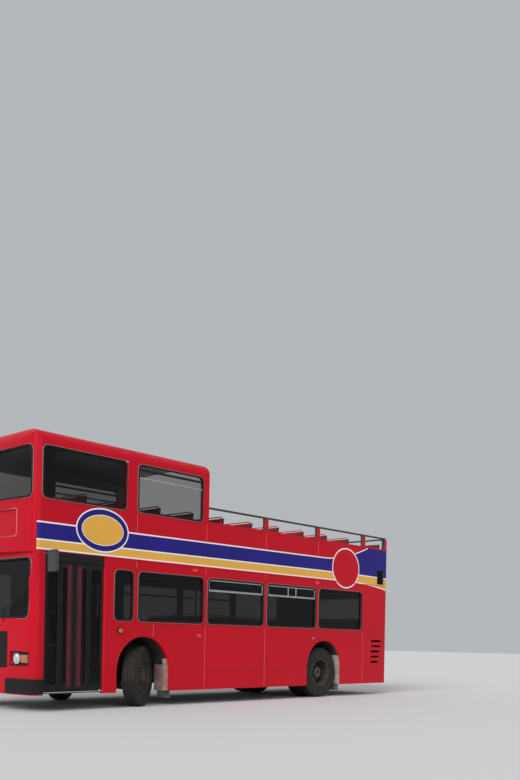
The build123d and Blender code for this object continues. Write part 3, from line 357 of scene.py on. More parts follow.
def add_prism(verts, faces, outline, place, depth):
    """Adds an outline extruded from w = 0 to depth."""
    first = len(verts)
    count = len(outline)
    verts += [place(u, v, w) for w in (0.0, depth) for u, v in outline]
    faces.append([first + i for i in range(count)])
    faces.append([first + count + i for i in range(count)])
    for i in range(count):
        j = (i + 1) % count
        faces.append([first + i, first + j, first + count + j, first + count + i])


def prism(name, outline, place, depth, mat, body="body", round_edges=0.0):
    """One extruded outline."""
    shape = ([], [])
    add_prism(*shape, outline, place, depth)
    return mesh_piece(name, *shape, mat, body, round_edges)


def rectangle(x0, x1, z0, z1):
    """Corners of a rectangle, anticlockwise."""
    return [(x0, z0), (x1, z0), (x1, z1), (x0, z1)]


def add_box(verts, faces, low, high):
    """Adds a box between two corners."""
    outline = rectangle(low[0], high[0], low[1], high[1])
    add_prism(verts, faces, outline, lambda u, v, w: (u, v, low[2] + w), high[2] - low[2])


def boxes(name, corners, mat, body="body", round_edges=0.0):
    """Boxes, each given by two opposite corners, as one piece."""
    shape = ([], [])
    for one, other in corners:
        low = [min(a, b) for a, b in zip(one, other)]
        high = [max(a, b) for a, b in zip(one, other)]
        add_box(*shape, low, high)
    return mesh_piece(name, *shape, mat, body, round_edges)


def ring_plate(name, outer, inner, place, depth, mat, body="body", round_edges=0.0):
    """A flat frame between two outlines that have as many points each."""
    count = len(outer)
    verts = [place(u, v, w) for w in (0.0, depth) for loop in (outer, inner) for u, v in loop]
    faces = []
    for i in range(count):
        j = (i + 1) % count
        for a, b in ((0, 1), (1, 3), (3, 2), (2, 0)):
            faces.append([a * count + i, a * count + j, b * count + j, b * count + i])
    return mesh_piece(name, verts, faces, mat, body, round_edges)


def tubes(name, lines, radius, mat, body="body", closed=False):
    """Round tubes along lists of points, as one piece."""
    name = name.replace(" ", "_")
    curve = bpy.data.curves.new(name, "CURVE")
    curve.dimensions = "3D"
    curve.bevel_depth = radius
    curve.bevel_resolution = 3
    curve.use_fill_caps = not closed
    for line in lines:
        spline = curve.splines.new("POLY")
        spline.points.add(len(line) - 1)
        for point, place in zip(spline.points, line):
            point.co = (*place, 1)
        spline.use_cyclic_u = closed
        spline.use_smooth = True
    obj = add_object(name, curve)
    curve.materials.append(mat)
    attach(obj, body)
    return obj


def loop_tube(name, outline, place, radius, mat):
    """A closed round tube along an outline."""
    return tubes(name, [[place(u, v, 0) for u, v in outline]], radius, mat, closed=True)


def rounded(x0, x1, z0, z1, radius):
    """Points round a rectangle with round corners, anticlockwise; x0 and x1 in any order."""
    steps = 6
    x0, x1 = sorted((x0, x1))
    points = []
    for cx, cz, start in (
        (x1 - radius, z1 - radius, 0),
        (x0 + radius, z1 - radius, 90),
        (x0 + radius, z0 + radius, 180),
        (x1 - radius, z0 + radius, 270),
    ):
        for n in range(steps + 1):
            angle = math.radians(start + 90 * n / steps)
            points.append((cx + radius * math.cos(angle), cz + radius * math.sin(angle)))
    return points


def ellipse(cx, cz, rx, rz, count=64):
    """Points round an ellipse, anticlockwise."""
    turn = [math.tau * n / count for n in range(count)]
    return [(cx + rx * math.cos(a), cz + rz * math.sin(a)) for a in turn]


# The body's bowed ends and crowned roof, and the middles of their round corners
def bow_radius(bow):
    """Radius of an arc as wide as the bus that stands proud by bow."""
    return (half_width**2 + bow**2) / (2 * bow)


def corner_middle(reach, radius, corner):
    """How far out a round corner's middle lies, where a bowed face ends at reach."""
    return reach - radius + math.sqrt((radius - corner) ** 2 - (half_width - corner) ** 2)


front_radius = bow_radius(front_bow)
rear_radius = bow_radius(rear_bow)
front_corner_x = corner_middle(half_length, front_radius, front_corner)
rear_corner_x = -corner_middle(half_length, rear_radius, rear_corner)
roof_edge_z = corner_middle(roof_height, bow_radius(roof_crown), roof_edge_radius)


def skin(x, out, side):
    """Plan point on a side's skin at x, moved outwards along its normal."""
    for middle, corner, way in ((front_corner_x, front_corner, 1), (rear_corner_x, rear_corner, -1)):
        if way * (x - middle) > 0:
            lean = math.asin(min(way * (x - middle) / corner, 1))
            reach = corner + out
            y = half_width - corner + reach * math.cos(lean)
            return middle + way * reach * math.sin(lean), side * y
    return x, side * (half_width + out)


def skin_place(side, out):
    """Places (x, z, w) on a side's skin, round its corners too; w goes outwards."""
    return lambda x, z, w: (*skin(x, out + w, side), z)


def side_place(side, out=0.0):
    """Places (x, z, w) on the flat of a side; w goes outwards."""
    return lambda x, z, w: (x, side * (half_width + out + w), z)


def along_place(y):
    """Places (x, z, w) on an upright plane along the bus; w goes to the left."""
    return lambda x, z, w: (x, y + w, z)


def across_place(x):
    """Places (y, z, w) on an upright plane across the bus; w goes forwards."""
    return lambda y, z, w: (x + w, y, z)


def plan_front(y):
    """X of the body's front outline at y."""
    edge = abs(y) - (half_width - front_corner)
    if edge > 0:
        return front_corner_x + math.sqrt(max(front_corner**2 - edge**2, 0))
    return half_length - front_radius + math.sqrt(front_radius**2 - y**2)


def front_x(y, z):
    """X of the outside of the front at y and z."""
    lean = half_length
    if rake_low < z < lip_low:
        lean -= screen_rake * min((z - rake_low) / (rake_high - rake_low), 1)
    elif z > upper_sill:
        lean -= front_head_rake * (z - upper_sill) / (upper_head - upper_sill)
    return min(plan_front(y), lean)


def front_place(out=0.0):
    """Places (y, z, w) on the outside of the front; w goes forwards."""
    return lambda y, z, w: (front_x(y, z) + out + w, y, z)


def rear_place(out=0.0):
    """Places (y, z, w) on the outside of the rear; w goes backwards."""
    middle = -half_length + rear_radius
    return lambda y, z, w: (middle - math.sqrt(rear_radius**2 - y**2) - out - w, y, z)


# Stripes along the sides
stripe_front = 4.67
stripe_rear = -4.70
top_line_rear = -3.93
low_line_z = 2.512
middle_line_z = 2.678
top_line_z = 2.957
dip_start = -2.9
sweep_start = -2.4
sweep_top = 3.305
line_width = 0.024
film = 0.0012
band_out = 0.0005
line_out = 0.0015
intake_front = -4.315
intake_rear = -4.57
intake_bottom = 2.51
intake_top = 2.835


def low_line(x):
    """Lower edge of the yellow band, which dips towards the rear."""
    return low_line_z - 0.0265 * max(dip_start - x, 0) ** 2.63


def forward_fall(x, slope):
    """What a line drops towards the front."""
    return slope * max(x + 1, 0)


def middle_line(x):
    """Line between the yellow and the blue band."""
    return middle_line_z - 0.2 * (low_line_z - low_line(x)) - forward_fall(x, 0.0045)


def top_line(x):
    """Upper edge of the blue band, which sweeps up to the sill towards the rear."""
    rise = 0.16 * max(sweep_start - x, 0) ** 1.76
    return min(top_line_z + rise, sweep_top) - forward_fall(x, 0.0063)


def columns(front, rear, low, high):
    """Places from front to rear with two heights, close together at bends and corners."""
    xs = {front, rear}
    xs |= {front_corner_x + 0.0145 * n for n in range(7)}
    xs |= {rear_corner_x - 0.0125 * n for n in range(6)}
    xs |= {sweep_start - 0.07 * n for n in range(32)}
    xs = [x for x in sorted(xs, reverse=True) if rear <= x <= front]
    return [(x, low(x), high(x)) for x in xs if low(x) < high(x)]


def ribbon(name, places, side, out, mat):
    """A thin band on a side and round its corners; places are (x, low z, high z)."""
    verts = []
    for x, z0, z1 in places:
        for w in (out, out + film):
            px, py = skin(x, w, side)
            verts += [(px, py, z0), (px, py, z1)]
    faces = [[0, 1, 3, 2], [len(verts) - 4 + i for i in (0, 1, 3, 2)]]
    for i in range(0, len(verts) - 4, 4):
        for a, b in ((0, 1), (1, 3), (3, 2), (2, 0)):
            faces.append([i + a, i + b, i + 4 + b, i + 4 + a])
    return mesh_piece(name, verts, faces, mat)


def white_line(name, front, rear, middle, side):
    """A white line on a side, along a curve."""
    half = line_width / 2
    places = columns(front, rear, lambda x: middle(x) - half, lambda x: middle(x) + half)
    ribbon(name, places, side, line_out, white)


def stripes():
    """Yellow and blue bands with white lines, which leave the air intake open."""
    spans = ((stripe_front, intake_front), (intake_front, intake_rear), (intake_rear, stripe_rear))
    for side, tag in sides:
        for n, (front, rear) in enumerate(spans):
            at_intake = front == intake_front
            blue_low = (lambda x: intake_top) if at_intake else middle_line
            yellow_high = (lambda x: intake_bottom) if at_intake else middle_line
            ribbon(f"blue band {n} {tag}", columns(front, rear, blue_low, top_line), side, band_out, blue)
            places = columns(front, rear, low_line, yellow_high)
            ribbon(f"yellow band {n} {tag}", places, side, band_out, yellow)
            if not at_intake:
                white_line(f"middle line {n} {tag}", front, rear, middle_line, side)
        white_line(f"low line {tag}", stripe_front, stripe_rear, low_line, side)
        white_line(f"top line {tag}", stripe_front, top_line_rear, top_line, side)


def badges():
    """A plain oval in rings, and a round disc."""
    # Part, how much smaller it is than the whole, material
    oval = (("rim", 0.0, white), ("ring", 0.024, blue), ("line", 0.11, white), ("field", 0.122, yellow))
    disc = (("edge", 0.0, white), ("field", 0.028, red))
    # Name, x and z of the middle, half length, half height, parts
    shapes = (("badge", 3.44, 2.91, 0.53, 0.36, oval), ("disc", -3.13, 2.79, 0.49, 0.44, disc))
    for side, tag in sides:
        for name, x, z, rx, rz, parts in shapes:
            for n, (part, shrink, mat) in enumerate(parts):
                outline = ellipse(x, z, rx - shrink, rz - shrink)
                prism(f"{name} {part} {tag}", outline, side_place(side, 0.003), 0.001 * (n + 1), mat)


# Windows: front end and rear end of each
lower_windows = [(pillars[n] - pillar_half, pillars[n + 1] + pillar_half) for n in range(4)]
door_light = (3.171, 2.788)
cab_light = (4.44, 3.56)
front_quarter = (4.582, 2.967)
roofed_bay = (2.708, 1.212)
hopper_z = 2.075


def gasket(name, x1, x0, z0, z1, side):
    """Rubber round one side window, with a thin bead outside it."""
    # Part, how much larger it is than the opening, radius, how far out, material
    for part, grow, radius, out, mat in (
        ("rubber", 0.0, 0.014, 0.001, rubber),
        ("bead", 0.018, 0.005, 0.0, bead),
    ):
        outline = rounded(x0 - grow, x1 + grow, z0 - grow, z1 + grow, window_corner + grow)
        loop_tube(f"{name} {part}", outline, skin_place(side, out), radius, mat)


def frame_bar(x0, x1, z0, z1, side):
    """Opposite corners of a bar in a side window, just inside the skin."""
    return (x0, side * (half_width - 0.024), z0), (x1, side * (half_width - 0.004), z1)


def hopper(name, x1, x0, posts, side):
    """Alloy frame of an opening top light; posts are shares of its width."""
    post_half = 0.012
    end_post = 0.025
    bars = [
        frame_bar(x0 + post_half, x1 - post_half, hopper_z - 0.02, hopper_z + 0.016, side),
        frame_bar(x0 + 0.06, x1 - 0.06, lower_head - 0.036, lower_head - 0.014, side),
    ]
    for x in [x0 + end_post, x1 - end_post] + [x0 + (x1 - x0) * p for p in posts]:
        bars.append(frame_bar(x - post_half, x + post_half, hopper_z, lower_head - 0.03, side))
    boxes(name, bars, alloy, round_edges=0.003)


def side_windows():
    """Rubbers round the side windows, and the frames of the opening top lights."""
    for side, tag in sides:
        lower = [door_light] + lower_windows if side > 0 else [cab_light] + lower_windows[1:]
        for n, (x1, x0) in enumerate(lower):
            gasket(f"lower window {n} {tag}", x1, x0, lower_sill, lower_head, side)
        for n, (x1, x0) in enumerate((front_quarter, roofed_bay)):
            gasket(f"upper window {n} {tag}", x1, x0, upper_sill, upper_head, side)
        hopper(f"hopper one {tag}", *lower_windows[1], [], side)
        hopper(f"hopper two {tag}", *lower_windows[2], [0.42, 0.58], side)
        x1, x0 = roofed_bay
        bar = frame_bar(x0 + 0.02, x1 - 0.02, 4.0, 4.035, side)
        boxes(f"roofed bay bar {tag}", [bar], black)
        rail = frame_bar(x0 + 0.01, x1 - 0.01, 3.865, 3.895, side)
        boxes(f"roofed bay rail {tag}", [rail], alloy, round_edges=0.003)


def seams():
    """Panel joints: dark lines along the bus, and pale lines across them that are painted highlight on the
    joints' edges.
    """
    corner_panel_x = -4.70
    dark_proud = 0.0008
    pale_proud = 0.003
    pale_half = 0.0025
    # Front end, rear end, height
    long_seams = (
        (front_axle_x - arch_radius, rear_axle_x + arch_radius, skirt_seam),
        (rear_axle_x - arch_radius, corner_panel_x, skirt_seam),
        (2.95, corner_panel_x, waist_seam),
        (4.60, roof_rear_x, upper_seam),
        (roof_rear_x, -4.60, open_sill - 0.055),
    )
    # Place along the bus, bottom, top
    upright_seams = [(2.333, 1.20, 1.42)]
    upright_seams += [(x, arch_foot, 1.42) for x in (pillars[1], pillars[2], -3.80)]
    upright_seams += [(x, z0, z1) for x in pillars[:4] for z0, z1 in ((2.36, 2.49), (2.97, 3.26))]
    for side, tag in sides:
        place = side_place(side)
        dark = ([], [])
        for x1, x0, z in long_seams:
            add_prism(*dark, rectangle(x0, x1, z - seam_half, z + seam_half), place, dark_proud)
        mesh_piece(f"long seams {tag}", *dark, red_dark)
        # Pale upright lines: painted highlight on the joints' edges.
        pale = ([], [])
        for x, z0, z1 in upright_seams:
            add_prism(*pale, rectangle(x - pale_half, x + pale_half, z0, z1), place, pale_proud)
        mesh_piece(f"upright seams {tag}", *pale, seam_highlight)
        low = (-4.60, side * half_width, deck_joint - 0.016)
        high = (3.37, side * (half_width + 0.006), deck_joint - 0.004)
        boxes(f"deck strip {tag}", [(low, high)], red, round_edges=0.002)


def edge_drop(radius, past):
    """How far a round edge has fallen, at so far past where it starts."""
    return radius - math.sqrt(max(radius**2 - max(past, 0) ** 2, 0))


def roof_top(x, y):
    """Height of the roof's outside near its left edge."""
    side = roof_edge_z + roof_edge_radius - edge_drop(roof_edge_radius, y - half_width + roof_edge_radius)
    rear = roof_height - edge_drop(roof_rear_radius, roof_rear_x + roof_rear_radius - x)
    front = roof_height - edge_drop(roof_front_radius, x - roof_front_x)
    return min(side, rear, front)


def roof_edge_panel():
    """Closes the roof's outside and its lining along the left edge."""
    lift = 0.0008
    lining_drop = 0.045
    # Close together over the round rear and front edges
    xs = [roof_rear_x + roof_rear_radius * (n / 8) ** 2 + 0.001 for n in range(9)]
    xs += [1.5 + 0.31 * n for n in range(10)]
    xs += [4.42 + 0.026 * n for n in range(10)]
    ys = [1.085 + 0.01 * n for n in range(14)]
    verts = []
    faces = []
    for drop in (-lift, lining_drop):
        verts += [(x, y, roof_top(x, y) - drop) for x in xs for y in ys]
    rows = len(ys)
    sheet = len(xs) * rows
    for i in range(len(xs) - 1):
        for j in range(rows - 1):
            corners = [i * rows + j, i * rows + j + 1, (i + 1) * rows + j + 1, (i + 1) * rows + j]
            faces += [corners, [sheet + c for c in corners]]
    rim = [i * rows for i in range(len(xs))]
    rim += [sheet - rows + j for j in range(1, rows)]
    rim += [i * rows + rows - 1 for i in range(len(xs) - 2, -1, -1)]
    rim += list(range(rows - 2, 0, -1))
    for a, b in zip(rim, rim[1:] + rim[:1]):
        faces.append([a, b, sheet + b, sheet + a])
    mesh_piece("roof edge panel", verts, faces, roof_red)


def arch_line(x, radius, y):
    """Points up, over and down a wheel arch."""
    arc = [math.radians(a) for a in range(0, 181, 6)]
    points = [(x + radius * math.cos(a), y, arch_z + radius * math.sin(a)) for a in arc]
    return [(x + radius, y, arch_foot)] + points + [(x - radius, y, arch_foot)]


def arch_lips():
    """Thin rolled edges round the wheel arches."""
    for side, tag in sides:
        y = side * half_width
        lines = [arch_line(x, arch_radius + 0.004, y) for x in (front_axle_x, rear_axle_x)]
        tubes(f"arch lips {tag}", lines, 0.009, red)


# Wheels
# Half of a tyre's section, from bead to tread: how far across, radius
tyre_section = (
    (0.096, bead_radius),
    (0.110, 0.291),
    (0.119, 0.312),
    (0.1255, 0.352),
    (0.127, 0.395),
    (0.1262, 0.43),
    (0.1268, 0.436),
    (0.1225, 0.468),
    (0.1165, 0.492),
    (0.108, 0.505),
    (0.096, 0.511),
)
# Rows of tread blocks: from and to across the tyre, how much lower than the crown
tread_rows = ((-0.105, -0.064, 0.0045), (-0.055, -0.008, 0.0), (0.008, 0.055, 0.0), (0.064, 0.105, 0.0045))


def wheel_middle(name, turn):
    """Matrix from (ahead, across, up) about a wheel's middle to the bus's frame."""
    low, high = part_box(name)
    centre = (Vector(low) + Vector(high)) / 2
    return Matrix.Translation((centre.x, centre.y, tyre_radius)) @ Matrix.Rotation(turn, 4, "Z")


def tyre(name, place, across, body, stands_for):
    """A tyre with round shoulders and bulging sides, and its tread blocks, about a wheel's middle."""

    def at(angle, out, radius):
        return place @ Vector((radius * math.sin(angle), across + out, radius * math.cos(angle)))

    steps = 96
    section = list(tyre_section) + [(-w, r) for w, r in tyre_section[::-1]]
    count = len(section)
    verts = [at(math.tau * n / steps, w, r) for n in range(steps) for w, r in section]
    faces = []
    for n in range(steps):
        m = (n + 1) % steps
        for i in range(count):
            j = (i + 1) % count
            faces.append([n * count + i, n * count + j, m * count + j, m * count + i])
    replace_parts(mesh_piece(name, verts, faces, tyre_rubber, body), stands_for)
    blocks = 60
    block_turn = 1.66 * math.pi / blocks
    foot = 0.506
    crown = tyre_radius - 0.0005
    verts = []
    faces = []
    for row, (y0, y1, drop) in enumerate(tread_rows):
        for n in range(blocks):
            start = math.tau * (n + 0.5 * (row % 2)) / blocks
            first = len(verts)
            for angle in (start, start + block_turn):
                verts += [at(angle, y, r) for y in (y0, y1) for r in (foot, crown - drop)]
            for face in ((0, 1, 3, 2), (4, 5, 7, 6), (0, 1, 5, 4), (2, 3, 7, 6), (1, 5, 7, 3), (0, 2, 6, 4)):
                faces.append([first + i for i in face])
    mesh_piece(f"{name} tread", verts, faces, tyre_rubber, body)


def hub_details(name, place, disc_face, side, body):
    """Nuts on a wheel's disc, and a flat black disc in place of each hand hole: painted shade."""

    def on_disc(u, v, w):
        return place @ Vector((u, disc_face + side * w, v))

    # The hand hole marks are flat black discs: painted shade where real holes would be.
    # Part, how many, start as a share of a step, radius of their circle, own radius, corners, height
    for part, number, start, circle, radius, corners, height, mat in (
        ("nuts", 10, 0.0, 0.142, 0.016, 6, 0.024, iron),
        ("hand hole shade discs", 8, 0.5, 0.213, 0.027, 20, 0.001, black),
    ):
        shape = ([], [])
        for n in range(number):
            angle = math.tau * (n + start) / number
            outline = ellipse(circle * math.cos(angle), circle * math.sin(angle), radius, radius, corners)
            add_prism(*shape, outline, on_disc, height)
        mesh_piece(f"{name} {part}", *shape, mat, body)


def wheels():
    """Tyres, tread and hub details of every wheel."""
    for side, tag in sides:
        front = f"wheel_front_{tag}"
        place = wheel_middle(f"tyre_front_{tag}", steer_at_rest)
        tyre(f"front tyre {tag}", place, 0.0, front, f"tyre_front_{tag}")
        hub_details(f"front wheel {tag}", place, side * front_disc_out, side, front)
        rear = f"wheel_rear_{tag}"
        low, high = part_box(f"tyre_rear_{tag}")
        outer = max(abs(low[1]), abs(high[1])) - tyre_half_width
        place = Matrix.Translation((rear_axle_x, side * outer, tyre_radius))
        tyre(f"rear tyre outer {tag}", place, 0.0, rear, f"tyre_rear_{tag}")
        tyre(f"rear tyre inner {tag}", place, -side * twin_spacing, rear, f"tyre_rear_{tag}")
        hub_details(f"rear wheel {tag}", place, -side * rear_disc_in, side, rear)


# Seats, each measured from the foot of its back
cushion_x = 0.285
cushion_z = 0.422
cushion_half = (0.2, 0.046)  # length, thickness
back_x = 0.074
back_z = 0.735
back_half = (0.255, 0.03)
back_turn = Matrix.Rotation(math.radians(-7), 4, "Y") @ Matrix.Rotation(math.radians(90), 4, "Y")
shell_foot = 0.352
seat_shell = [(0.0, 1.0), (0.02, 1.0), (0.078, 0.43), (0.485, 0.40), (0.485, shell_foot), (0.06, shell_foot)]
seat_depth = 0.49
double_width = 0.86
bench_width = 2.3


def swell(value, power):
    """A signed power, for round-cornered pads."""
    return math.copysign(abs(value) ** power, value)


def add_pad(verts, faces, place, half):
    """Adds a closed crowned pad whose sides pull in between its corners; half is (x, y, z)."""
    rings = 8
    spokes = 28
    first = len(verts)
    verts.append(place @ Vector((0, 0, -half[2])))
    for i in range(1, rings):
        rise = math.pi * (i / rings - 0.5)
        reach = math.cos(rise) ** 0.5
        for k in range(spokes):
            turn = math.tau * k / spokes
            x = half[0] * reach * swell(math.cos(turn), 0.34)
            y = half[1] * reach * swell(math.sin(turn), 0.34)
            verts.append(place @ Vector((x, y, half[2] * swell(math.sin(rise), 0.62))))
    verts.append(place @ Vector((0, 0, half[2])))
    last = len(verts) - 1
    for k in range(spokes):
        j = (k + 1) % spokes
        faces.append([first, first + 1 + j, first + 1 + k])
        faces.append([last, last - spokes + k, last - spokes + j])
        for i in range(rings - 2):
            row = first + 1 + i * spokes
            faces.append([row + k, row + j, row + spokes + j, row + spokes + k])


def seats(deck, places, stands_for):
    """Joined pads, shells and grab rails; places are (x, middle y, floor z, number of people, width)."""
    pads = ([], [])
    shells = ([], [])
    rails = []
    for x, y, z, people, width in places:
        each = width / people
        for n in range(people):
            middle = y - width / 2 + each * (n + 0.5)
            low = Matrix.Translation((x + cushion_x, middle, z + cushion_z))
            add_pad(*pads, low, (cushion_half[0], each / 2 - 0.012, cushion_half[1]))
            back = Matrix.Translation((x + back_x, middle, z + back_z)) @ back_turn
            add_pad(*pads, back, (back_half[0], each / 2 - 0.016, back_half[1]))
        span = width - 0.02
        add_prism(*shells, seat_shell, lambda u, v, w: (x + u, y - span / 2 + w, z + v), span)
        if people < 5 or z >= upper_floor:
            for side in (0,) if people == 1 else (1, -1):
                leg = y + side * (width / 2 - 0.14)
                add_box(*shells, (x + 0.2, leg - 0.02, z), (x + 0.27, leg + 0.02, z + shell_foot + 0.001))
        if people == 2:
            rail = [(x + 0.012, y + width / 2 - 0.06, z + 0.98), (x + 0.008, y + width / 2 - 0.09, z + 1.03)]
            rails.append(rail + [(px, 2 * y - py, pz) for px, py, pz in rail[::-1]])
    padding = mesh_piece(f"seat pads {deck}", *pads, vinyl)
    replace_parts(padding, stands_for)
    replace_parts(mesh_piece(f"seat shells {deck}", *shells, moulding, round_edges=0.004), stands_for)
    if rails:
        tubes(f"seat rails {deck}", rails, 0.012, rail_red)


def all_seats():
    """Seats of both decks and the driver's, in the places of their solids."""
    seat_y = 0.748
    stair_front = 3.395
    stair_rear = 1.785
    rows = [3.70 - 0.782 * n for n in range(10)]
    clear_rows = [x for x in rows if x > stair_front or x + seat_depth < stair_rear]
    upper = [(x, seat_y, upper_floor, 2, double_width) for x in rows]
    upper += [(x, -seat_y, upper_floor, 2, double_width) for x in clear_rows]
    upper.append((-4.56, 0.0, upper_floor, 5, bench_width))
    seats("upper", upper, "seats_upper")
    rows = [1.15 - 0.767 * n for n in range(4)]
    lower = [(x, seat_y, lower_floor, 2, double_width) for x in rows]
    lower += [(x, -seat_y, lower_floor, 2, double_width) for x in rows[1:]]
    lower.append((-4.482, 0.0, 0.73, 5, bench_width))
    seats("lower", lower, "seats_lower")
    seats("driver", [(3.50, -0.64, lower_floor, 1, 0.48)], "driver_seat")


# Front
def screens():
    """Rubbers and beads round the front windows."""
    # Window, half width, width of the pillar between its panes, bottom, top, corner
    windows = (
        ("screen", 1.12, 0.046, screen_bottom, screen_head, 0.11),
        ("upper screen", 1.15, 0.06, upper_sill, upper_head, 0.09),
    )
    # Part, how much larger it is than the pane, radius, material
    parts = (("rubber", 0.0, 0.015, rubber), ("bead", 0.02, 0.005, bead))
    for side, tag in sides:
        for name, half, pillar, z0, z1, corner in windows:
            for part, grow, radius, mat in parts:
                y0 = side * (pillar / 2 - grow / 3)
                y1 = side * (half + grow)
                outline = rounded(y0, y1, z0 - grow, z1 + grow, corner + grow)
                loop_tube(f"{name} {part} {tag}", outline, front_place(0.001), radius, mat)


def off_front(side, y, z, out):
    """Point on one side of the front, moved forwards."""
    return front_x(y, z) + out, side * y, z


def front_details():
    """Lamps, wipers, blank sign, panel joint and blank plate on the front."""
    lamp_face = 4.6882
    for side, tag in sides:
        outline = rounded(side * 0.69, side * 1.135, 0.715, 0.92, 0.03)
        prism(f"lamp plate {tag}", outline, across_place(lamp_face), 0.003, black)
        outline = rounded(side * 0.937, side * 1.083, 0.759, 0.876, 0.016)
        place = across_place(lamp_face + 0.026)
        prism(f"indicator {tag}", outline, place, 0.006, lamp_amber, round_edges=0.002)
        outline = ellipse(side * 0.74, 0.8175, 0.09, 0.09, 40)
        loop_tube(f"headlamp ring {tag}", outline, across_place(lamp_face + 0.0278), 0.008, chrome)
        blade = [off_front(side, y, z, 0.03) for y, z in ((0.25, 1.50), (0.62, 1.62), (0.95, 1.75))]
        bends = ((0.5, 1.40, -0.002), (0.5, 1.42, 0.02), (0.6, 1.615, 0.04))
        arm = [off_front(side, *bend) for bend in bends]
        tubes(f"wiper {tag}", [blade, arm], 0.007, black)
    sign_half = 0.785
    sign_low = 2.735
    sign_high = 3.135
    rim = 0.015
    outline = rounded(-sign_half, sign_half, sign_low, sign_high, 0.045)
    prism("sign face", outline, across_place(4.7272), 0.004, red)
    outline = rounded(-sign_half - rim, sign_half + rim, sign_low - rim, sign_high + rim, 0.05)
    # The sign's rim is pale: painted highlight on its round edge.
    loop_tube("sign frame", outline, front_place(), 0.008, seam_highlight)
    ys = [-1.12 + 0.14 * n for n in range(17)]
    outline = [(y, upper_seam - seam_half) for y in ys] + [(y, upper_seam + seam_half) for y in ys[::-1]]
    prism("front seam", outline, front_place(), 0.001, red_dark)
    outline = rounded(-0.26, 0.26, 0.52, 0.63, 0.008)
    prism("front plate", outline, across_place(half_length + 0.0005), 0.004, plate, round_edges=0.001)


# Rear
def rear_details():
    """Window rubber, blank plate, amber lenses, hinges and handles on the rear."""
    lamp_y = 1.06
    lamp_half = 0.048
    lamp_face = -4.7662
    hinge_y = 0.45
    hinge_half = 0.06
    hinge_x = -4.785
    hinge_z = 1.356
    handle_z = 0.46
    outline = rounded(-0.78, 0.78, 1.52, 2.23, window_corner)
    loop_tube("rear window rubber", outline, rear_place(-0.001), 0.014, rubber)
    prism("rear plate", rounded(-0.26, 0.26, 1.385, 1.495, 0.01), rear_place(0.0005), 0.003, plate)
    for side, tag in sides:
        y = side * lamp_y
        outline = rounded(y - lamp_half, y + lamp_half, 1.372, 1.468, 0.01)
        place = across_place(lamp_face)
        prism(f"rear indicator {tag}", outline, place, -0.003, lamp_amber, round_edges=0.001)
        y = side * hinge_y
        hinge = [(hinge_x, y - hinge_half, hinge_z), (hinge_x, y + hinge_half, hinge_z)]
        tubes(f"cover hinge {tag}", [hinge], 0.009, iron)
        place = rear_place()
        bends = ((-0.07, 0), (-0.06, 0.02), (0.06, 0.02), (0.07, 0))
        handle = [place(y + across, handle_z, out) for across, out in bends]
        tubes(f"cover handle {tag}", [handle], 0.008, black, "engine_cover")


# Entrance
def door_leaf(name, meeting, rail=None):
    """A glazed leaf in the place of its solid; meeting is -1 or 1 where a red stile meets the other pair."""
    (x0, y0, z0), (x1, y1, z1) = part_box(name)
    plain = 0.042
    wide = 0.135
    lap = 0.005
    in0 = x0 + (wide if meeting < 0 else plain)
    in1 = x1 - (wide if meeting > 0 else plain)
    bottom = z0 + 0.1
    top = z1 - 0.09
    outer = rounded(x0, x1, z0, z1, 0.006)
    inner = rounded(in0, in1, bottom, top, 0.035)
    leaf = ring_plate(f"{name} frame", outer, inner, along_place(y0), y1 - y0, black, name, 0.002)
    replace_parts(leaf, name)
    middle = (y0 + y1) / 2
    outline = rounded(in0 - lap, in1 + lap, bottom - lap, top + lap, 0.036)
    # The pane's dark glass is painted shade of the inside.
    pane = prism(f"{name} glass", outline, along_place(middle - 0.003), 0.006, door_glass, name)
    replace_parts(pane, name)
    if meeting:
        edge = x0 if meeting < 0 else x1
        # The red stiles are darkened as painted shade.
        for part, y in (("in", y0), ("out", y1)):
            low = (edge - meeting * 0.128, y - 0.001, z0 + 0.06)
            high = (edge - meeting * 0.052, y + 0.001, z1 - 0.05)
            boxes(f"{name} stile {part}", [(low, high)], shaded_door_red, name, 0.0008)
        x = edge - meeting * 0.006
        tubes(f"{name} edge rubber", [[(x, middle, z0 + 0.02), (x, middle, z1 - 0.02)]], 0.011, rubber, name)
    if rail:
        tubes(f"{name} grab rail", [rail], 0.011, rail_red, name)


def entrance():
    """Leaves, header, grab rails and step edges at the entrance."""
    rail_y = 1.16
    leaf_back = 1.206
    top = 1.55
    foot = 1.04
    upright = [(4.254, leaf_back, top), (4.30, rail_y, top), (4.377, rail_y, top)]
    upright += [(x, y, foot) for x, y, _ in upright[::-1]]
    diagonal = [(4.206, leaf_back, 1.43), (4.195, rail_y, 1.41)]
    diagonal += [(4.045, rail_y, 1.16), (4.03, leaf_back, 1.14)]
    door_leaf("door_front_outer", 0, upright)
    door_leaf("door_front_inner", -1, diagonal)
    door_leaf("door_rear_inner", 1)
    door_leaf("door_rear_outer", 0)
    boxes("door header", [((3.397, 1.2502, 2.347), (4.518, 1.2518, deck_joint - 0.004))], black)
    pole = (3.33, 1.01)
    sleeve_foot = (*pole, 1.50)
    tubes("entrance pole", [[(*pole, lower_floor), (*pole, upper_ceiling)]], 0.015, black)
    tubes("entrance sleeve", [[sleeve_foot, (*pole, 2.06)]], 0.019, white)
    rail = [sleeve_foot, (3.48, 0.80, 1.17), (3.48, 0.80, second_step)]
    tubes("entrance rail", [rail], 0.016, rail_red)
    low_tread = ((3.40, 1.215, 0.2995), (4.515, 1.2445, 0.304))
    high_tread = ((3.40, 0.795, second_step - 0.0005), (4.515, 0.829, second_step + 0.004))
    boxes("step edges", [low_tread, high_tread], plate, round_edges=0.001)


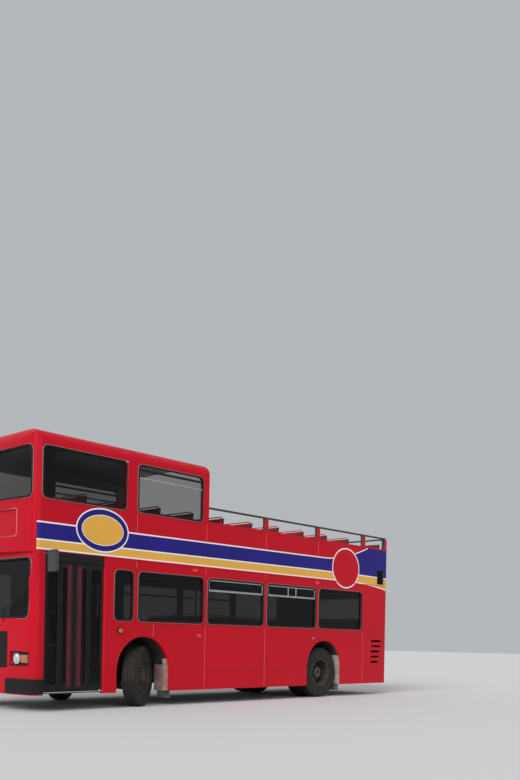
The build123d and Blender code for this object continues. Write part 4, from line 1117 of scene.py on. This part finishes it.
def driver_controls():
    """A round steering wheel with three spokes in the place of its solid."""
    middle = Vector((4.31, -0.64, 1.346))
    tilt = Matrix.Rotation(math.radians(-30), 3, "Y")
    rim_radius = 0.222
    hub_radius = 0.055
    drop = 0.04
    spoke_start = 0.04
    spoke_end = 0.22

    def at(x, y, z=0.0):
        return middle + tilt @ Vector((x, y, z))

    rim = loop_tube("steering rim", ellipse(0, 0, rim_radius, rim_radius, 48), at, 0.014, black)
    spokes = []
    for turn in (0, 2.1, -2.1):
        ahead = math.cos(turn)
        across = math.sin(turn)
        start = at(spoke_start * ahead, spoke_start * across, -drop / 2)
        spokes.append([start, at(spoke_end * ahead, spoke_end * across)])
    spider = tubes("steering spokes", spokes, 0.009, black)
    outline = ellipse(0, 0, hub_radius, hub_radius, 32)
    hub = prism("steering hub", outline, lambda u, v, w: at(u, v, w - drop), 0.05, black, round_edges=0.01)
    for piece in (rim, spider, hub):
        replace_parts(piece, "steering_wheel")


def side_fittings():
    """Lamps, markers and brackets on the sides, and the glass of the mirrors."""
    repeater = (3.05, 1.29)
    base_thick = 0.008
    for side, tag in sides:
        place = side_place(side)
        base = ellipse(*repeater, 0.062, 0.062, 32)
        prism(f"repeater base {tag}", base, place, base_thick, black, round_edges=0.002)
        lens = ellipse(*repeater, 0.045, 0.045, 32)
        prism(f"repeater {tag}", lens, side_place(side, base_thick), 0.018, lamp_amber, round_edges=0.008)
        for x in (1.246, -2.036):
            outline = rounded(x - 0.045, x + 0.045, 1.222, 1.26, 0.01)
            prism(f"marker {x} {tag}", outline, place, 0.012, lamp_amber, round_edges=0.003)
        for x in (1.376, -2.134):
            outline = rounded(x - 0.06, x + 0.06, 2.385, 2.435, 0.01)
            prism(f"step lamp {x} {tag}", outline, place, 0.02, rail_red, round_edges=0.004)
        outline = rounded(2.945, 2.999, 4.09, 4.118, 0.008)
        prism(f"bracket {tag}", outline, place, 0.022, alloy, round_edges=0.003)
        y = side * 1.60
        outline = rounded(y - 0.084, y + 0.084, 2.158, 2.456, 0.03)
        prism(f"mirror glass {tag}", outline, across_place(4.5838), 0.003, mirror_glass)


def guard_strip(x, top):
    """Outline in (forward, z) of a guard that follows the rear edge of an arch."""
    thick = 0.008
    foot = 0.265
    radius = arch_radius - 0.003
    rise = [arch_z + (top - arch_z) * n / 6 for n in range(7)]
    edge = [(x - radius, foot)] + [(x - math.sqrt(radius**2 - (z - arch_z) ** 2), z) for z in rise]
    return edge + [(px - thick, z) for px, z in edge[::-1]]


def guards():
    """Pale panels behind the wheels, along the arches' rear edges: weathered, with painted sunlight."""
    front_y = 1.115
    rear_y = 1.06
    sheet_x = 1.899
    edge_x = front_axle_x - arch_radius
    for side, tag in sides:
        outline = guard_strip(front_axle_x, 0.82)
        prism(f"front guard edge {tag}", outline, side_place(side, front_y - half_width), 0.122, guard)
        sheet = ((sheet_x, side * 0.80, 0.25), (sheet_x + 0.01, side * 1.12, 0.73))
        flange = ((sheet_x, side * 1.114, 0.265), (edge_x, side * 1.12, 0.73))
        boxes(f"front guard {tag}", [sheet, flange], guard, round_edges=0.002)
        outline = guard_strip(rear_axle_x, 0.89)
        prism(f"rear guard {tag}", outline, side_place(side, rear_y - half_width), 0.178, guard)


def studio():
    """Pale floor and soft light."""
    reach = 120
    mesh = bpy.data.meshes.new("floor")
    corners = rectangle(-reach, reach, -reach, reach)
    mesh.from_pydata([(x, y, 0) for x, y in corners], [], [(0, 1, 2, 3)])
    mesh.materials.append(floor_pale)
    add_object("floor", mesh)
    world = bpy.data.worlds.new("studio")
    bpy.context.scene.world = world
    world.use_nodes = True
    sky = world.node_tree.nodes["Background"]
    sky.inputs["Color"].default_value = (0.84, 0.87, 0.9, 1)
    sky.inputs["Strength"].default_value = 0.55
    # Name, where it shines from, how wide it is in degrees, strength
    for name, place, angle, strength in (("key", (13, 4.5, 9), 35, 2.1), ("fill", (2, 20, 8), 60, 0.6)):
        light = bpy.data.lights.new(name, "SUN")
        light.angle = math.radians(angle)
        light.energy = strength
        lamp = add_object(name, light)
        lamp.location = place
        lamp.rotation_euler = (-Vector(place)).to_track_quat("-Z", "Y").to_euler()


def camera():
    """The photograph's view: its focal length, height and place, with the crop as a shift."""
    focal_px = 870
    frame_width_px = 520
    frame_height_px = 780
    centre_u = 260
    centre_v = 641.9
    yaw = math.radians(47.58)
    roll = math.radians(1.09)
    data = bpy.data.cameras.new("camera")
    data.sensor_width = 36
    data.lens = data.sensor_width * focal_px / frame_height_px
    data.shift_x = (frame_width_px / 2 - centre_u) / frame_height_px
    data.shift_y = (centre_v - frame_height_px / 2) / frame_height_px
    data.clip_end = 500
    cam = add_object("camera", data)
    forward = Vector((-math.sin(yaw), -math.cos(yaw), 0))
    up = Matrix.Rotation(-roll, 3, forward) @ Vector((0, 0, 1))
    right = forward.cross(up)
    rotation = Matrix((right, up, -forward)).transposed()
    cam.matrix_world = Matrix.Translation((12.138, 12.703, 1.147)) @ rotation.to_4x4()
    bpy.context.scene.camera = cam
    bpy.context.scene.view_settings.view_transform = "Standard"


camera()
studio()
dress_nodes()
stripes()
badges()
side_windows()
seams()
roof_edge_panel()
arch_lips()
wheels()
all_seats()
screens()
front_details()
rear_details()
entrance()
driver_controls()
side_fittings()
guards()
